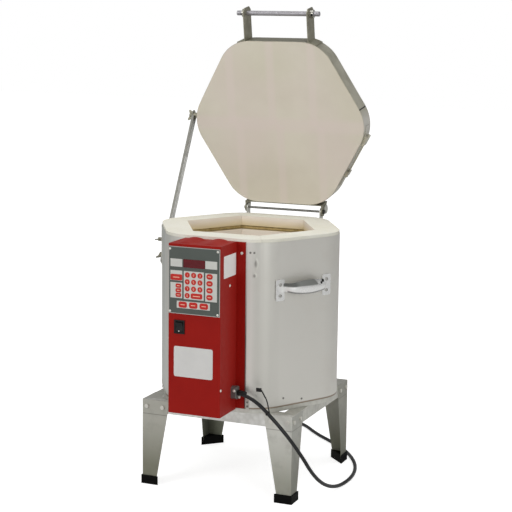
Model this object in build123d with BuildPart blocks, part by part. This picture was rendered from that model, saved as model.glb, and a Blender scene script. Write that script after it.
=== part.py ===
from build123d import *
from math import sin, cos, tan, atan2, radians, sqrt, pi
import os

os.makedirs("parts", exist_ok=True)

# Driving dimensions of the kiln, in millimetres and degrees
kiln_x = 12.0
kiln_y = 22.5
gap = 0.3
screw_clearance = 0.3

# Body: a rounded hexagon with flats towards the front and back
body_across = 432.0
body_corner = 95.0
chamber_across = 301.0
jacket_sheet = 0.8
rim_show = 7.2
floor_thickness = 77.0
course_height = 115.0
course_count = 3
joint_width = 0.4
pan_sheet = 1.2
pan_lip = 10.0

# Stand
stand_width = 400.0
stand_height = 218.0
leg_sheet = 1.5
leg_top_width = 74.0
leg_foot_width = 36.0
rail_sheet = 1.5
rail_height = 32.0
rail_flange = 14.0
bolt_radius = 3.0
bolt_head_radius = 5.2
bolt_head_height = 3.0
bolt_nut_radius = 4.5
bolt_nut_height = 4.0
bolt_drop = 17.0
bolt_insets = (12.0, 55.0)
foot_side = 46.0
foot_height = 22.0
foot_sole = 4.0
foot_wall = 2.6
foot_slot_play = 0.25

# Heating rows
groove_height = 10.0
groove_depth = 15.0
groove_first_drop = 30.0
coil_radius = 4.0
coil_corner = 12.0
tail_radius = 2.0
tail_hole_radius = 4.0
tail_spacing = 40.0
tail_reach = 18.0

# Control box on the front flat
box_x = -8.2
box_width = 135.0
box_depth = 94.0
box_bottom = 226.0
box_top = 635.0
box_sheet = 1.2
box_flange = 23.0
box_corner = 2.5
flange_bottom_lift = 3.6
flange_left_drop = 12.0

# Lid
lid_open_angle = 80.0
lid_thickness = 50.0
lid_gap = 0.3
band_reveal = 1.5
hinge_y = 236.0
hinge_rise = 12.0
hinge_rod_radius = 3.0
hinge_running = 0.05

# Levels worked out from the sizes above
pan_z = stand_height + gap
floor_z = pan_z + pan_sheet
wall_z = floor_z + floor_thickness
rim_z = wall_z + course_height * course_count
jacket_z = pan_z + pan_lip + gap
jacket_top = rim_z - rim_show
hinge_z = rim_z + hinge_rise
flat = body_across / 2
brick_across = body_across - 2 * (jacket_sheet + gap)
brick_corner = body_corner - jacket_sheet - gap
corner_reach = body_across / sqrt(3) - body_corner * (1 / cos(radians(30)) - 1)
course_pitch = course_height / 2

# Planes that every piece shares
lid_turn = radians(lid_open_angle)
lid_y_dir = (0, cos(lid_turn), -sin(lid_turn))
lid_out_dir = (0, sin(lid_turn), cos(lid_turn))


def level(z):
    return Plane((kiln_x, kiln_y, z))


def front(y):
    return Plane((kiln_x, kiln_y + y, 0), x_dir=(1, 0, 0), z_dir=(0, -1, 0))


def side(x):
    return Plane((kiln_x + x, kiln_y, 0), x_dir=(0, 1, 0), z_dir=(1, 0, 0))


def flat_face(turn, distance):
    a = radians(turn)
    origin = (kiln_x + distance * cos(a), kiln_y + distance * sin(a), 0)
    return Plane(origin, x_dir=(-sin(a), cos(a), 0), z_dir=(cos(a), sin(a), 0))


def lid_level(height):
    base = Plane((kiln_x, kiln_y + hinge_y, hinge_z), x_dir=(1, 0, 0), z_dir=lid_out_dir)
    return base.offset(height)


def lid_side(x):
    return Plane((kiln_x + x, kiln_y + hinge_y, hinge_z), x_dir=lid_y_dir, z_dir=(1, 0, 0))


def lid_front(y):
    origin = Vector(kiln_x, kiln_y + hinge_y, hinge_z) + Vector(*lid_y_dir) * y
    return Plane(origin, x_dir=(1, 0, 0), z_dir=(Vector(*lid_y_dir) * -1))


def hexagon(across, corner=0.0):
    with BuildSketch(Plane.XY, mode=Mode.PRIVATE) as outline:
        RegularPolygon(across / 2, 6, major_radius=False)
        if corner > 0:
            fillet(outline.vertices(), corner)
    return outline.sketch


# Stand legs: tapered angle sheet, outer corner upright
def stand_leg(sx, sy):
    outer = stand_width / 2
    bolt_z = stand_height - bolt_drop
    with BuildPart() as leg:
        for plane, hand, inward in (
            (front(sy * outer), sx, sy * leg_sheet),
            (side(sx * outer), sy, -sx * leg_sheet),
        ):
            with BuildSketch(plane):
                with BuildLine():
                    Polyline(
                        (hand * outer, foot_sole),
                        (hand * (outer - leg_foot_width), foot_sole),
                        (hand * (outer - leg_top_width), stand_height),
                        (hand * outer, stand_height),
                        close=True,
                    )
                make_face()
                for inset in bolt_insets:
                    with Locations((hand * (outer - inset), bolt_z)):
                        Circle(bolt_radius + screw_clearance, mode=Mode.SUBTRACT)
            extrude(amount=inward)
    return leg.part


leg_names = {
    (-1, -1): "leg_front_left",
    (1, -1): "leg_front_right",
    (-1, 1): "leg_back_left",
    (1, 1): "leg_back_right",
}
pieces = {}
for (sx, sy), leg_name in leg_names.items():
    pieces[leg_name] = stand_leg(sx, sy)

# Stand rails: angle sheet bolted inside the legs
rail_face = stand_width / 2 - leg_sheet


def cross_rail(sy):
    with BuildPart() as rail:
        for width, tall, z in (
            (rail_sheet, rail_height, stand_height - rail_height),
            (rail_flange, rail_sheet, stand_height - rail_sheet),
        ):
            with BuildSketch(level(z)):
                with Locations((0, sy * (rail_face - width / 2))):
                    Rectangle(2 * rail_face, width)
            extrude(amount=tall)
        for sx in (-1, 1):
            for inset in bolt_insets:
                spot = sx * (stand_width / 2 - inset)
                hole_at = (kiln_x + spot, kiln_y + sy * rail_face, stand_height - bolt_drop)
                with Locations(Location(hole_at, (90, 0, 0))):
                    Cylinder(bolt_radius + screw_clearance, 4 * rail_sheet, mode=Mode.SUBTRACT)
    return rail.part


def depth_rail(sx):
    reach = 2 * (rail_face - rail_sheet - gap)
    with BuildPart() as rail:
        with BuildSketch(level(stand_height - rail_height)):
            with Locations((sx * (rail_face - rail_sheet / 2), 0)):
                Rectangle(rail_sheet, reach)
        extrude(amount=rail_height - rail_sheet)
        with BuildSketch(level(stand_height - rail_sheet)):
            with Locations((sx * (rail_face - rail_flange / 2), 0)):
                Rectangle(rail_flange, 2 * (rail_face - rail_flange - gap))
        extrude(amount=rail_sheet)
        for sy in (-1, 1):
            for inset in bolt_insets:
                spot = sy * (stand_width / 2 - inset)
                hole_at = (kiln_x + sx * rail_face, kiln_y + spot, stand_height - bolt_drop)
                with Locations(Location(hole_at, (0, 90, 0))):
                    Cylinder(bolt_radius + screw_clearance, 4 * rail_sheet, mode=Mode.SUBTRACT)
    return rail.part


pieces["rail_front"] = cross_rail(-1)
pieces["rail_back"] = cross_rail(1)
pieces["rail_left"] = depth_rail(-1)
pieces["rail_right"] = depth_rail(1)

# Stand bolts: round head outside, nut inside
bolt_grip = leg_sheet + rail_sheet
with BuildPart() as stand_bolts:
    for quarter in range(4):
        out = Vector(1, 0, 0).rotate(Axis.Z, 90 * quarter)
        aside = Vector(0, 1, 0).rotate(Axis.Z, 90 * quarter)
        middle = Vector(kiln_x, kiln_y, stand_height - bolt_drop) + out * (stand_width / 2)
        for inset in bolt_insets:
            for hand in (-1, 1):
                spot = middle + aside * (hand * (stand_width / 2 - inset))
                outside = Plane(spot, x_dir=(0, 0, 1), z_dir=out)
                with BuildSketch(outside):
                    Circle(bolt_head_radius)
                extrude(amount=bolt_head_height)
                with BuildSketch(outside):
                    Circle(bolt_radius)
                extrude(amount=-bolt_grip - bolt_nut_height)
                with BuildSketch(outside.offset(-bolt_grip)):
                    RegularPolygon(bolt_nut_radius, 6)
                extrude(amount=-bolt_nut_height)
pieces["stand_bolts"] = stand_bolts.part

# Rubber feet: three-cornered caps pushed onto the legs
foot_outer = stand_width / 2 + foot_wall
with BuildPart() as feet:
    for sx in (-1, 1):
        for sy in (-1, 1):
            with BuildSketch(level(0)):
                with BuildLine():
                    Polyline(
                        (sx * foot_outer, sy * foot_outer),
                        (sx * (foot_outer - foot_side), sy * foot_outer),
                        (sx * foot_outer, sy * (foot_outer - foot_side)),
                        close=True,
                    )
                make_face()
            extrude(amount=foot_height)
            with BuildSketch(level(foot_sole)):
                slot_reach = leg_foot_width + 3 * foot_wall
                slot_wide = leg_sheet + 2 * foot_slot_play
                slot_mid = stand_width / 2 + foot_slot_play - slot_wide / 2
                slot_far = stand_width / 2 + foot_slot_play - slot_reach / 2
                with Locations((sx * slot_far, sy * slot_mid)):
                    Rectangle(slot_reach, slot_wide)
                with Locations((sx * slot_mid, sy * slot_far)):
                    Rectangle(slot_wide, slot_reach)
            extrude(amount=foot_height, mode=Mode.SUBTRACT)
pieces["feet"] = feet.part

# Bottom pan under the floor slab
with BuildPart() as base_pan:
    with BuildSketch(level(pan_z)):
        add(hexagon(body_across, body_corner))
    extrude(amount=pan_lip)
    with BuildSketch(level(floor_z)):
        add(hexagon(body_across - 2 * pan_sheet, body_corner - pan_sheet))
    extrude(amount=pan_lip, mode=Mode.SUBTRACT)
pieces["base_pan"] = base_pan.part

# Floor slab of insulating brick, narrowed where the pan's lip stands round it
with BuildPart() as floor_brick:
    with BuildSketch(level(floor_z)):
        add(hexagon(brick_across - 2 * pan_sheet, brick_corner - pan_sheet))
    extrude(amount=pan_lip)
    with BuildSketch(level(floor_z + pan_lip)):
        add(hexagon(brick_across, brick_corner))
    extrude(amount=floor_thickness - pan_lip)
pieces["floor_brick"] = floor_brick.part

# Wall courses: six mitred bricks each, with two heating rows let in
thermocouple_radius = 4.0
thermocouple_x = -60.0
thermocouple_row = 0.5
thermocouple_play = 0.5
row_span = chamber_across + 2 * groove_depth


def row_z(row):
    return rim_z - groove_first_drop - row * course_pitch


def wall_course(index):
    base = wall_z + index * course_height
    with BuildPart() as course:
        with BuildSketch(level(base)):
            add(hexagon(brick_across, brick_corner))
            add(hexagon(chamber_across), mode=Mode.SUBTRACT)
            with Locations((0, 0)):
                Rectangle(2 * body_across, joint_width, mode=Mode.SUBTRACT)
                Rectangle(2 * body_across, joint_width, rotation=60, mode=Mode.SUBTRACT)
                Rectangle(2 * body_across, joint_width, rotation=120, mode=Mode.SUBTRACT)
        extrude(amount=course_height)
        for row in range(2 * course_count):
            z = row_z(row)
            if base < z < base + course_height:
                with BuildSketch(level(z - groove_height / 2)):
                    add(hexagon(row_span))
                extrude(amount=groove_height, mode=Mode.SUBTRACT)
                with Locations(Location((kiln_x, kiln_y - flat, z), (90, 0, 0))):
                    with GridLocations(tail_spacing, 1, 2, 1):
                        Cylinder(tail_hole_radius, body_across / 2, mode=Mode.SUBTRACT)
        probe_z = row_z(2) - course_pitch * thermocouple_row
        if base < probe_z < base + course_height:
            with Locations(Location((kiln_x + thermocouple_x, kiln_y - flat, probe_z), (90, 0, 0))):
                Cylinder(thermocouple_radius + thermocouple_play, body_across / 2, mode=Mode.SUBTRACT)
    return course.part


for index in range(course_count):
    pieces["wall_course_%d" % (index + 1)] = wall_course(index)

# Heating coils: two rows to an element, tails led out through the front wall
row_reach = chamber_across / 2 + groove_depth - coil_radius - gap
row_corner = row_reach / cos(radians(30))
coil_lift = coil_radius + gap - groove_height / 2


def heating_element(number):
    with BuildPart() as element:
        for row in (2 * number, 2 * number + 1):
            z = row_z(row) + coil_lift
            points = [(-tail_spacing / 2 + coil_radius, -row_reach)]
            for k in (4, 3, 2, 1, 0, -1):
                turn = radians(60 * k)
                points.append((row_corner * cos(turn), row_corner * sin(turn)))
            points.append((tail_spacing / 2 - coil_radius, -row_reach))
            with BuildLine(level(z)) as ring:
                FilletPolyline(*points, radius=coil_corner)
            with BuildSketch(Plane(ring.line @ 0, z_dir=ring.line % 0)):
                Circle(coil_radius)
            sweep(path=ring.line)
            for sx in (-1, 1):
                with BuildSketch(front(-row_reach)):
                    with Locations((sx * tail_spacing / 2, z)):
                        Circle(tail_radius)
                extrude(amount=flat + tail_reach - row_reach)
    return element.part


for number in range(course_count):
    pieces["element_%d" % (number + 1)] = heating_element(number)

# Thermocouple: ceramic tube with a terminal block outside the wall
thermocouple_into = 25.0
thermocouple_block = 22.0
thermocouple_block_height = 16.0
thermocouple_block_depth = 12.0
probe_z = row_z(2) - course_pitch * thermocouple_row
with BuildPart() as thermocouple:
    with BuildSketch(front(-chamber_across / 2 + thermocouple_into)):
        with Locations((thermocouple_x, probe_z)):
            Circle(thermocouple_radius)
    extrude(amount=flat - chamber_across / 2 + thermocouple_into + gap)
    fillet(thermocouple.edges().group_by(Axis.Y)[-1], thermocouple_radius / 2)
    with BuildSketch(front(-flat - gap)):
        with Locations((thermocouple_x, probe_z)):
            Rectangle(thermocouple_block, thermocouple_block_height)
    extrude(amount=thermocouple_block_depth)
pieces["thermocouple"] = thermocouple.part

# Stainless jacket, open behind the control box for the tails
tail_window_width = 60.0
tail_window_margin = 14.0
with BuildPart() as jacket:
    with BuildSketch(level(jacket_z)):
        add(hexagon(body_across, body_corner))
        add(hexagon(body_across - 2 * jacket_sheet, body_corner - jacket_sheet), mode=Mode.SUBTRACT)
    extrude(amount=jacket_top - jacket_z)
    window_low = row_z(2 * course_count - 1) - tail_window_margin
    window_high = row_z(0) + tail_window_margin
    with BuildSketch(front(-flat + 4 * jacket_sheet)):
        with Locations((0, (window_low + window_high) / 2)):
            Rectangle(tail_window_width, window_high - window_low)
        with Locations((thermocouple_x, probe_z)):
            Circle(thermocouple_radius + thermocouple_play)
    extrude(amount=8 * jacket_sheet, mode=Mode.SUBTRACT)
pieces["jacket"] = jacket.part

# Jacket lap: the sheet's overlapping end round the front right corner
lap_corner_turn = -60.0
lap_turn_start = -80.0
lap_turn_end = -56.0
lap_drop = 1.0
corner_center = body_across / sqrt(3) - body_corner / cos(radians(30))


lap_radius = body_corner + gap / 3
lap_x = corner_center * cos(radians(lap_corner_turn))
lap_y = corner_center * sin(radians(lap_corner_turn))
lap_turn = lap_turn_end - lap_turn_start
with BuildPart() as jacket_lap:
    with BuildSketch(level(jacket_z + lap_drop)):
        with BuildLine():
            near = CenterArc((lap_x, lap_y), lap_radius, lap_turn_start, lap_turn)
            far = CenterArc((lap_x, lap_y), lap_radius + jacket_sheet, lap_turn_start, lap_turn)
            Line(near @ 0, far @ 0)
            Line(near @ 1, far @ 1)
        make_face()
    extrude(amount=jacket_top - jacket_z - 2 * lap_drop)
pieces["jacket_lap"] = jacket_lap.part

# Clips that hold the jacket down to the pan
clip_width = 8.0
clip_low = pan_z + 4.0
clip_high = clip_low + 32.0
clip_sheet = 1.5
clip_along = 90.5
with BuildPart() as pan_clips:
    for turn in (-90, 30, 150):
        with BuildSketch(flat_face(turn, flat + gap)):
            with Locations((clip_along if turn == -90 else 0, (clip_low + clip_high) / 2)):
                Rectangle(clip_width, clip_high - clip_low)
        extrude(amount=clip_sheet)
pieces["pan_clips"] = pan_clips.part

# Side handles: pressed pulls with end plates
handle_z = 517.0
handle_plate_width = 26.0
handle_plate_height = 52.0
handle_plate_along = 71.5
handle_plate_corner = 4.0
handle_plate_sheet = 2.0
handle_hole_radius = 2.4
handle_hole_pitch = 27.0
handle_neck_along = 57.0
handle_projection = 26.0
handle_band_height = 38.0
handle_band_sheet = 2.0
handle_band_bow = 6.0
handle_trim = 2.0
handle_taper = 1.6
handle_lift = 6.0
handle_shoulder = 0.78
handle_lean = 8.0
handle_elbow = 14.0
handle_bow_radius = 200.0


def side_handle(turn, shift=0):
    face = flat_face(turn, flat + gap)
    base = Plane(face.origin + face.x_dir * shift, x_dir=face.x_dir, z_dir=face.z_dir)
    band_z = handle_z + handle_lift
    low_plane = Plane(base.origin + Vector(0, 0, band_z), x_dir=base.x_dir, z_dir=(0, 0, 1))
    with BuildPart() as handle:
        with BuildLine(low_plane) as arch:
            FilletPolyline(
                (-handle_neck_along, 0),
                (-handle_neck_along + handle_lean, -handle_projection * handle_shoulder),
                (0, -handle_projection),
                (handle_neck_along - handle_lean, -handle_projection * handle_shoulder),
                (handle_neck_along, 0),
                radius=(handle_elbow, handle_bow_radius, handle_elbow),
            )
        start = Plane(arch.line @ 0, x_dir=base.x_dir * -1, z_dir=arch.line % 0)
        with BuildSketch(start):
            half = handle_band_height / 2
            with BuildLine():
                outside = ThreePointArc((0, -half), (handle_band_bow, 0), (0, half))
                inside = ThreePointArc(
                    (-handle_band_sheet, -half),
                    (handle_band_bow - handle_band_sheet, 0),
                    (-handle_band_sheet, half),
                )
                Line(outside @ 0, inside @ 0)
                Line(outside @ 1, inside @ 1)
            make_face()
        sweep(path=arch.line)
        with BuildSketch(base):
            with Locations((0, band_z)):
                Rectangle(4 * handle_neck_along, 2 * handle_band_height)
        extrude(amount=-handle_projection, mode=Mode.SUBTRACT)
        with BuildSketch(base):
            for sz in (-1, 1):
                with BuildLine():
                    edge = ThreePointArc(
                        (-handle_taper * handle_neck_along, band_z),
                        (0, band_z + sz * (handle_band_height / 2 - handle_trim)),
                        (handle_taper * handle_neck_along, band_z),
                    )
                    far = sz * handle_band_height
                    Polyline(
                        edge @ 1,
                        (handle_taper * handle_neck_along, band_z + far),
                        (-handle_taper * handle_neck_along, band_z + far),
                        edge @ 0,
                    )
                make_face()
        extrude(amount=2 * handle_projection, mode=Mode.SUBTRACT)
        with BuildSketch(base):
            for sx in (-1, 1):
                with Locations((sx * handle_plate_along, handle_z)):
                    RectangleRounded(handle_plate_width, handle_plate_height, handle_plate_corner)
                    with GridLocations(1, handle_hole_pitch, 1, 2):
                        Circle(handle_hole_radius, mode=Mode.SUBTRACT)
        extrude(amount=handle_plate_sheet)
    return handle.part


pieces["handle_right"] = side_handle(-30)

# Control box shell: a folded hat with flanges against the front flat
box_right = box_x + box_width / 2
box_front = -flat - gap - box_depth
box_height = box_top - box_bottom
face_width = 132.0
face_height = 160.0
face_sheet = 1.5
face_x = -7.8
face_z = 549.0
face_window_margin = 12.0
switch_x = -45.8
switch_z = 437.0
switch_width = 22.0
switch_height = 28.0
switch_bezel_width = 27.0
switch_bezel_height = 33.0
clamp_y = -236.0
clamp_z = 273.0
cord_diameter = 9.2
cord_play = 0.6
box_back = -flat - gap
with BuildPart() as box_shell:
    with BuildSketch(level(box_bottom)):
        with Locations((box_x, (box_front + box_back) / 2)):
            Rectangle(box_width, box_depth)
        with Locations((box_x, (box_front + box_back + box_sheet) / 2)):
            Rectangle(box_width - 2 * box_sheet, box_depth - box_sheet, mode=Mode.SUBTRACT)
    extrude(amount=box_height)
    for sx, drop in ((-1, flange_left_drop), (1, 0)):
        flange_x = box_x + sx * (box_width + box_flange - box_sheet) / 2
        with BuildSketch(level(box_bottom + flange_bottom_lift)):
            with Locations((flange_x, box_back - box_sheet / 2)):
                Rectangle(box_flange + box_sheet, box_sheet)
        extrude(amount=box_height - flange_bottom_lift - drop)
    upright = box_shell.edges().filter_by(Axis.Z).group_by(Axis.Y)[0]
    fillet(upright, box_corner)
    with BuildSketch(front(box_front + 2 * box_sheet)):
        with Locations((face_x, face_z)):
            Rectangle(face_width - 2 * face_window_margin, face_height - 2 * face_window_margin)
        with Locations((switch_x, switch_z)):
            Rectangle(switch_width + 2 * gap, switch_height + 2 * gap)
    extrude(amount=4 * box_sheet, mode=Mode.SUBTRACT)
    with BuildSketch(side(box_right - 2 * box_sheet)):
        with Locations((clamp_y, clamp_z)):
            Circle(cord_diameter / 2 + cord_play)
    extrude(amount=4 * box_sheet, mode=Mode.SUBTRACT)
pieces["box_shell"] = box_shell.part

# Box ends: shallow pans fitted inside the shell, the top one with two louvres open to the rear
end_lip = 12.0
end_inset = box_sheet + gap
louvre_width = 56.0
louvre_depth = 60.0
louvre_rise_front = 0.6
louvre_rise_back = 6.0
louvre_spacing = 63.0
end_width = box_width - 2 * end_inset
end_depth = box_depth - end_inset - gap
end_y = (box_front + end_inset + box_back - gap) / 2


def louvre_outline(y, middle, z, rise, inset):
    half = louvre_width / 2 - inset
    foot = z - box_sheet - inset
    with BuildSketch(front(y), mode=Mode.PRIVATE) as outline:
        with BuildLine():
            crown = ThreePointArc((middle - half, foot), (middle, z + rise - inset), (middle + half, foot))
            Line(crown @ 0, crown @ 1)
        make_face()
    return outline.sketch


def box_end(z, lip):
    with BuildPart() as end:
        with BuildSketch(level(z)):
            with Locations((box_x, end_y)):
                Rectangle(end_width, end_depth)
        extrude(amount=box_sheet if lip > 0 else -box_sheet)
        with BuildSketch(level(z)):
            with Locations((box_x, end_y)):
                Rectangle(end_width, end_depth)
                Rectangle(end_width - 2 * box_sheet, end_depth - 2 * box_sheet, mode=Mode.SUBTRACT)
        extrude(amount=lip)
        if lip < 0:
            for sx in (-1, 1):
                middle = box_x + sx * louvre_spacing / 2
                for inset, mode in ((0, Mode.ADD), (box_sheet, Mode.SUBTRACT)):
                    fore = end_y - louvre_depth / 2 + inset
                    low = louvre_outline(fore, middle, z, louvre_rise_front, inset)
                    high = louvre_outline(fore + louvre_depth, middle, z, louvre_rise_back, inset)
                    loft(sections=(low.face(), high.face()), mode=mode)
    return end.part


pieces["box_top"] = box_end(box_top, -end_lip)
pieces["box_bottom"] = box_end(box_bottom, end_lip)

# Control face: plate, grey overlay, light panels, window and keys, stacked towards the front
face_back = box_front - gap / 3
overlay_sheet = 0.4
overlay_border = 1.5
panel_sheet = 0.4
window_sheet = 2.0
key_rise = 0.8
window_x = -7.8
window_z = 590.3
window_width = 55.5
window_height = 19.5
keypad_x = -8.3
keypad_z = 538.8
keypad_width = 51.5
keypad_height = 67.0
left_x = -53.4
left_width = 30.5
right_x = 36.3
right_width = 30.0
light_z = 590.5
light_height = 18.5
run_z = 560.2
run_height = 24.0
three_z = 525.0
three_height = 37.0
oval_panel_z = 537.6
oval_panel_height = 67.0
low_panel_x = -9.3
low_panel_z = 491.5
low_panel_width = 85.5
low_panel_height = 17.0
with BuildPart() as faceplate:
    with BuildSketch(front(face_back)):
        with Locations((face_x, face_z)):
            Rectangle(face_width, face_height)
        with Locations((window_x, window_z)):
            Rectangle(window_width + 2 * gap, window_height + 2 * gap, mode=Mode.SUBTRACT)
    extrude(amount=face_sheet)
pieces["faceplate"] = faceplate.part

overlay_y = face_back - face_sheet
with BuildPart() as overlay:
    with BuildSketch(front(overlay_y)):
        with Locations((face_x, face_z)):
            Rectangle(face_width - 2 * overlay_border, face_height - 2 * overlay_border)
        with Locations((window_x, window_z)):
            Rectangle(window_width + 2 * gap, window_height + 2 * gap, mode=Mode.SUBTRACT)
    extrude(amount=overlay_sheet)
pieces["overlay"] = overlay.part

panel_y = overlay_y - overlay_sheet
with BuildPart() as key_panels:
    with BuildSketch(front(panel_y)):
        with Locations((left_x, light_z)):
            Rectangle(left_width, light_height)
        with Locations((right_x, light_z)):
            Rectangle(right_width, light_height)
        with Locations((left_x, run_z)):
            Rectangle(left_width, run_height)
        with Locations((left_x, three_z)):
            Rectangle(left_width, three_height)
        with Locations((keypad_x, keypad_z)):
            Rectangle(keypad_width, keypad_height)
        with Locations((right_x, oval_panel_z)):
            Rectangle(right_width, oval_panel_height)
        with Locations((low_panel_x, low_panel_z)):
            Rectangle(low_panel_width, low_panel_height)
    extrude(amount=panel_sheet)
pieces["key_panels"] = key_panels.part

with BuildPart() as display_window:
    with BuildSketch(front(face_back)):
        with Locations((window_x, window_z)):
            Rectangle(window_width, window_height)
    extrude(amount=window_sheet)
pieces["display_window"] = display_window.part

# Keys: raised domes of the flat keypad
key_y = panel_y - panel_sheet
number_radius = 5.2
number_pitch = 16.4
number_columns = 3
number_rows = 3
number_rise = 24.5
number_top = keypad_z + number_rise
number_x = -8.6
wide_key_x = -1.0
wide_key_width = 27.0
wide_key_height = 9.0
with BuildPart() as number_keys:
    with BuildSketch(front(key_y)):
        for row in range(number_rows):
            for column in range(number_columns):
                with Locations((number_x + (column - 1) * number_pitch, number_top - row * number_pitch)):
                    Circle(number_radius)
        with Locations((number_x - number_pitch, number_top - number_rows * number_pitch)):
            Circle(number_radius)
        with Locations((wide_key_x, number_top - number_rows * number_pitch)):
            RectangleRounded(wide_key_width, wide_key_height, wide_key_height / 3)
    extrude(amount=key_rise)
pieces["number_keys"] = number_keys.part

oval_x = 32.2
oval_width = 14.0
oval_height = 10.0
run_key_height = 12.0
run_key_z = 556.0
small_key_width = 14.0
small_key_height = 8.0
small_key_x = -48.0
small_key_pitch = 11.0
low_key_width = 15.0
low_key_height = 9.0
low_key_pitch = 27.2
with BuildPart() as function_keys:
    with BuildSketch(front(key_y)):
        for row in range(number_rows + 1):
            with Locations((oval_x, number_top - row * number_pitch)):
                Ellipse(oval_width / 2, oval_height / 2)
        with Locations((left_x, run_key_z)):
            RectangleRounded(left_width - 4 * overlay_border, run_key_height, 2 * overlay_border)
        for row in (-1, 0, 1):
            with Locations((small_key_x, three_z + row * small_key_pitch)):
                RectangleRounded(small_key_width, small_key_height, 2 * overlay_border)
            with Locations((low_panel_x + row * low_key_pitch, low_panel_z)):
                RectangleRounded(low_key_width, low_key_height, 2 * overlay_border)
    extrude(amount=key_rise)
pieces["function_keys"] = function_keys.part

# Rocker switch: bezel clipped into the shell, rocker turning on its own pin
bezel_rise = 2.0
switch_deep = 24.0
rocker_play = 0.6
rocker_pin_radius = 1.5
rocker_pin_play = 0.05
rocker_inset = 2.0
rocker_width = switch_width - 2 * rocker_inset
rocker_height = switch_height - 2 * rocker_inset
rocker_proud = 3.0
rocker_sunk = 1.0
rocker_belly = 4.0
rocker_center_y = box_front + 3.0
with BuildPart() as switch_body:
    with BuildSketch(front(box_front)):
        with Locations((switch_x, switch_z)):
            Rectangle(switch_bezel_width, switch_bezel_height)
    extrude(amount=bezel_rise)
    with BuildSketch(front(box_front)):
        with Locations((switch_x, switch_z)):
            Rectangle(switch_width, switch_height)
    extrude(amount=-switch_deep)
    with BuildSketch(front(box_front - bezel_rise)):
        with Locations((switch_x, switch_z)):
            Rectangle(rocker_width + 2 * rocker_play, rocker_height + 2 * rocker_play)
    extrude(amount=-switch_deep + 2 * bezel_rise, mode=Mode.SUBTRACT)
    with BuildSketch(side(switch_x - switch_width / 2 + bezel_rise / 4)):
        with Locations((rocker_center_y, switch_z)):
            Circle(rocker_pin_radius)
    extrude(amount=switch_width - bezel_rise / 2)
pieces["switch_body"] = switch_body.part

with BuildPart() as rocker:
    with BuildSketch(side(switch_x - rocker_width / 2)):
        with BuildLine():
            half = rocker_height / 2 - rocker_sunk
            face_y = box_front - bezel_rise
            Polyline(
                (rocker_center_y + rocker_belly, switch_z - half / 2),
                (rocker_center_y, switch_z - half),
                (face_y - rocker_sunk, switch_z - half),
                (face_y + rocker_sunk, switch_z),
                (face_y - rocker_proud, switch_z + half),
                (rocker_center_y, switch_z + half),
                (rocker_center_y + rocker_belly, switch_z + half / 2),
                close=True,
            )
        make_face()
        with Locations((rocker_center_y, switch_z)):
            Circle(rocker_pin_radius + rocker_pin_play, mode=Mode.SUBTRACT)
    extrude(amount=rocker_width)
pieces["rocker"] = rocker.part

# Inside the box: board, relay, transformer and terminal block
board_width = 118.0
board_height = 140.0
board_sheet = 1.6
board_standoff = 9.0
standoff_radius = 3.0
module_depth = 7.0
board_y = box_front + box_sheet + board_standoff
with BuildPart() as control_board:
    with BuildSketch(front(board_y + board_sheet)):
        with Locations((face_x, face_z)):
            Rectangle(board_width, board_height)
    extrude(amount=board_sheet)
    with BuildSketch(front(board_y)):
        with Locations((face_x, face_z)):
            with GridLocations(board_width - 4 * standoff_radius, board_height - 4 * standoff_radius, 2, 2):
                Circle(standoff_radius)
    extrude(amount=board_standoff - gap)
    with BuildSketch(front(board_y)):
        with Locations((window_x, window_z)):
            Rectangle(window_width, window_height)
    extrude(amount=module_depth)
pieces["control_board"] = control_board.part

relay_width = 30.0
relay_height = 38.0
relay_depth = 28.0
relay_x = 38.0
relay_z = 395.0
with BuildPart() as relay:
    with BuildSketch(front(box_front + box_sheet + gap + relay_depth)):
        with Locations((relay_x, relay_z)):
            Rectangle(relay_width, relay_height)
    extrude(amount=relay_depth)
    fillet(relay.edges().filter_by(Axis.Y), box_corner)
pieces["relay"] = relay.part

transformer_width = 48.0
transformer_height = 40.0
transformer_depth = 34.0
transformer_x = -28.0
transformer_z = 350.0
winding_width = 28.0
with BuildPart() as transformer:
    with BuildSketch(front(box_front + box_sheet + gap + transformer_depth)):
        with Locations((transformer_x, transformer_z)):
            Rectangle(transformer_width, transformer_height)
            with GridLocations(winding_width, 1, 2, 1):
                Rectangle(winding_width / 4, transformer_height / 2, mode=Mode.SUBTRACT)
    extrude(amount=transformer_depth)
pieces["transformer"] = transformer.part

terminal_x = 20.0
terminal_z = 300.0
terminal_width = 60.0
terminal_height = 22.0
terminal_depth = 18.0
terminal_ways = 4
with BuildPart() as terminal_block:
    with BuildSketch(front(box_front + box_sheet + gap + terminal_depth)):
        with Locations((terminal_x - box_flange, terminal_z)):
            Rectangle(terminal_width, terminal_height)
    extrude(amount=terminal_depth)
    with BuildSketch(front(box_front + box_sheet + gap + terminal_depth)):
        with Locations((terminal_x - box_flange, terminal_z)):
            with GridLocations(terminal_width / terminal_ways, 1, terminal_ways, 1):
                Rectangle(terminal_width / terminal_ways - bezel_rise, terminal_height / 2)
    extrude(amount=terminal_depth / 3, mode=Mode.SUBTRACT)
pieces["terminal_block"] = terminal_block.part

# Lid: brick slab, stainless band and its clamp
lid_low = rim_z + lid_gap - hinge_z
lid_high = lid_low + lid_thickness
with BuildPart() as lid_brick:
    with BuildSketch(lid_level(lid_low)):
        with Locations((0, -hinge_y)):
            add(hexagon(brick_across, brick_corner))
    extrude(amount=lid_thickness)
pieces["lid_brick"] = lid_brick.part

with BuildPart() as lid_band:
    with BuildSketch(lid_level(lid_low + band_reveal)):
        with Locations((0, -hinge_y)):
            add(hexagon(body_across, body_corner))
            add(hexagon(body_across - 2 * jacket_sheet, body_corner - jacket_sheet), mode=Mode.SUBTRACT)
    extrude(amount=lid_thickness - band_reveal)
pieces["lid_band"] = lid_band.part

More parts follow.
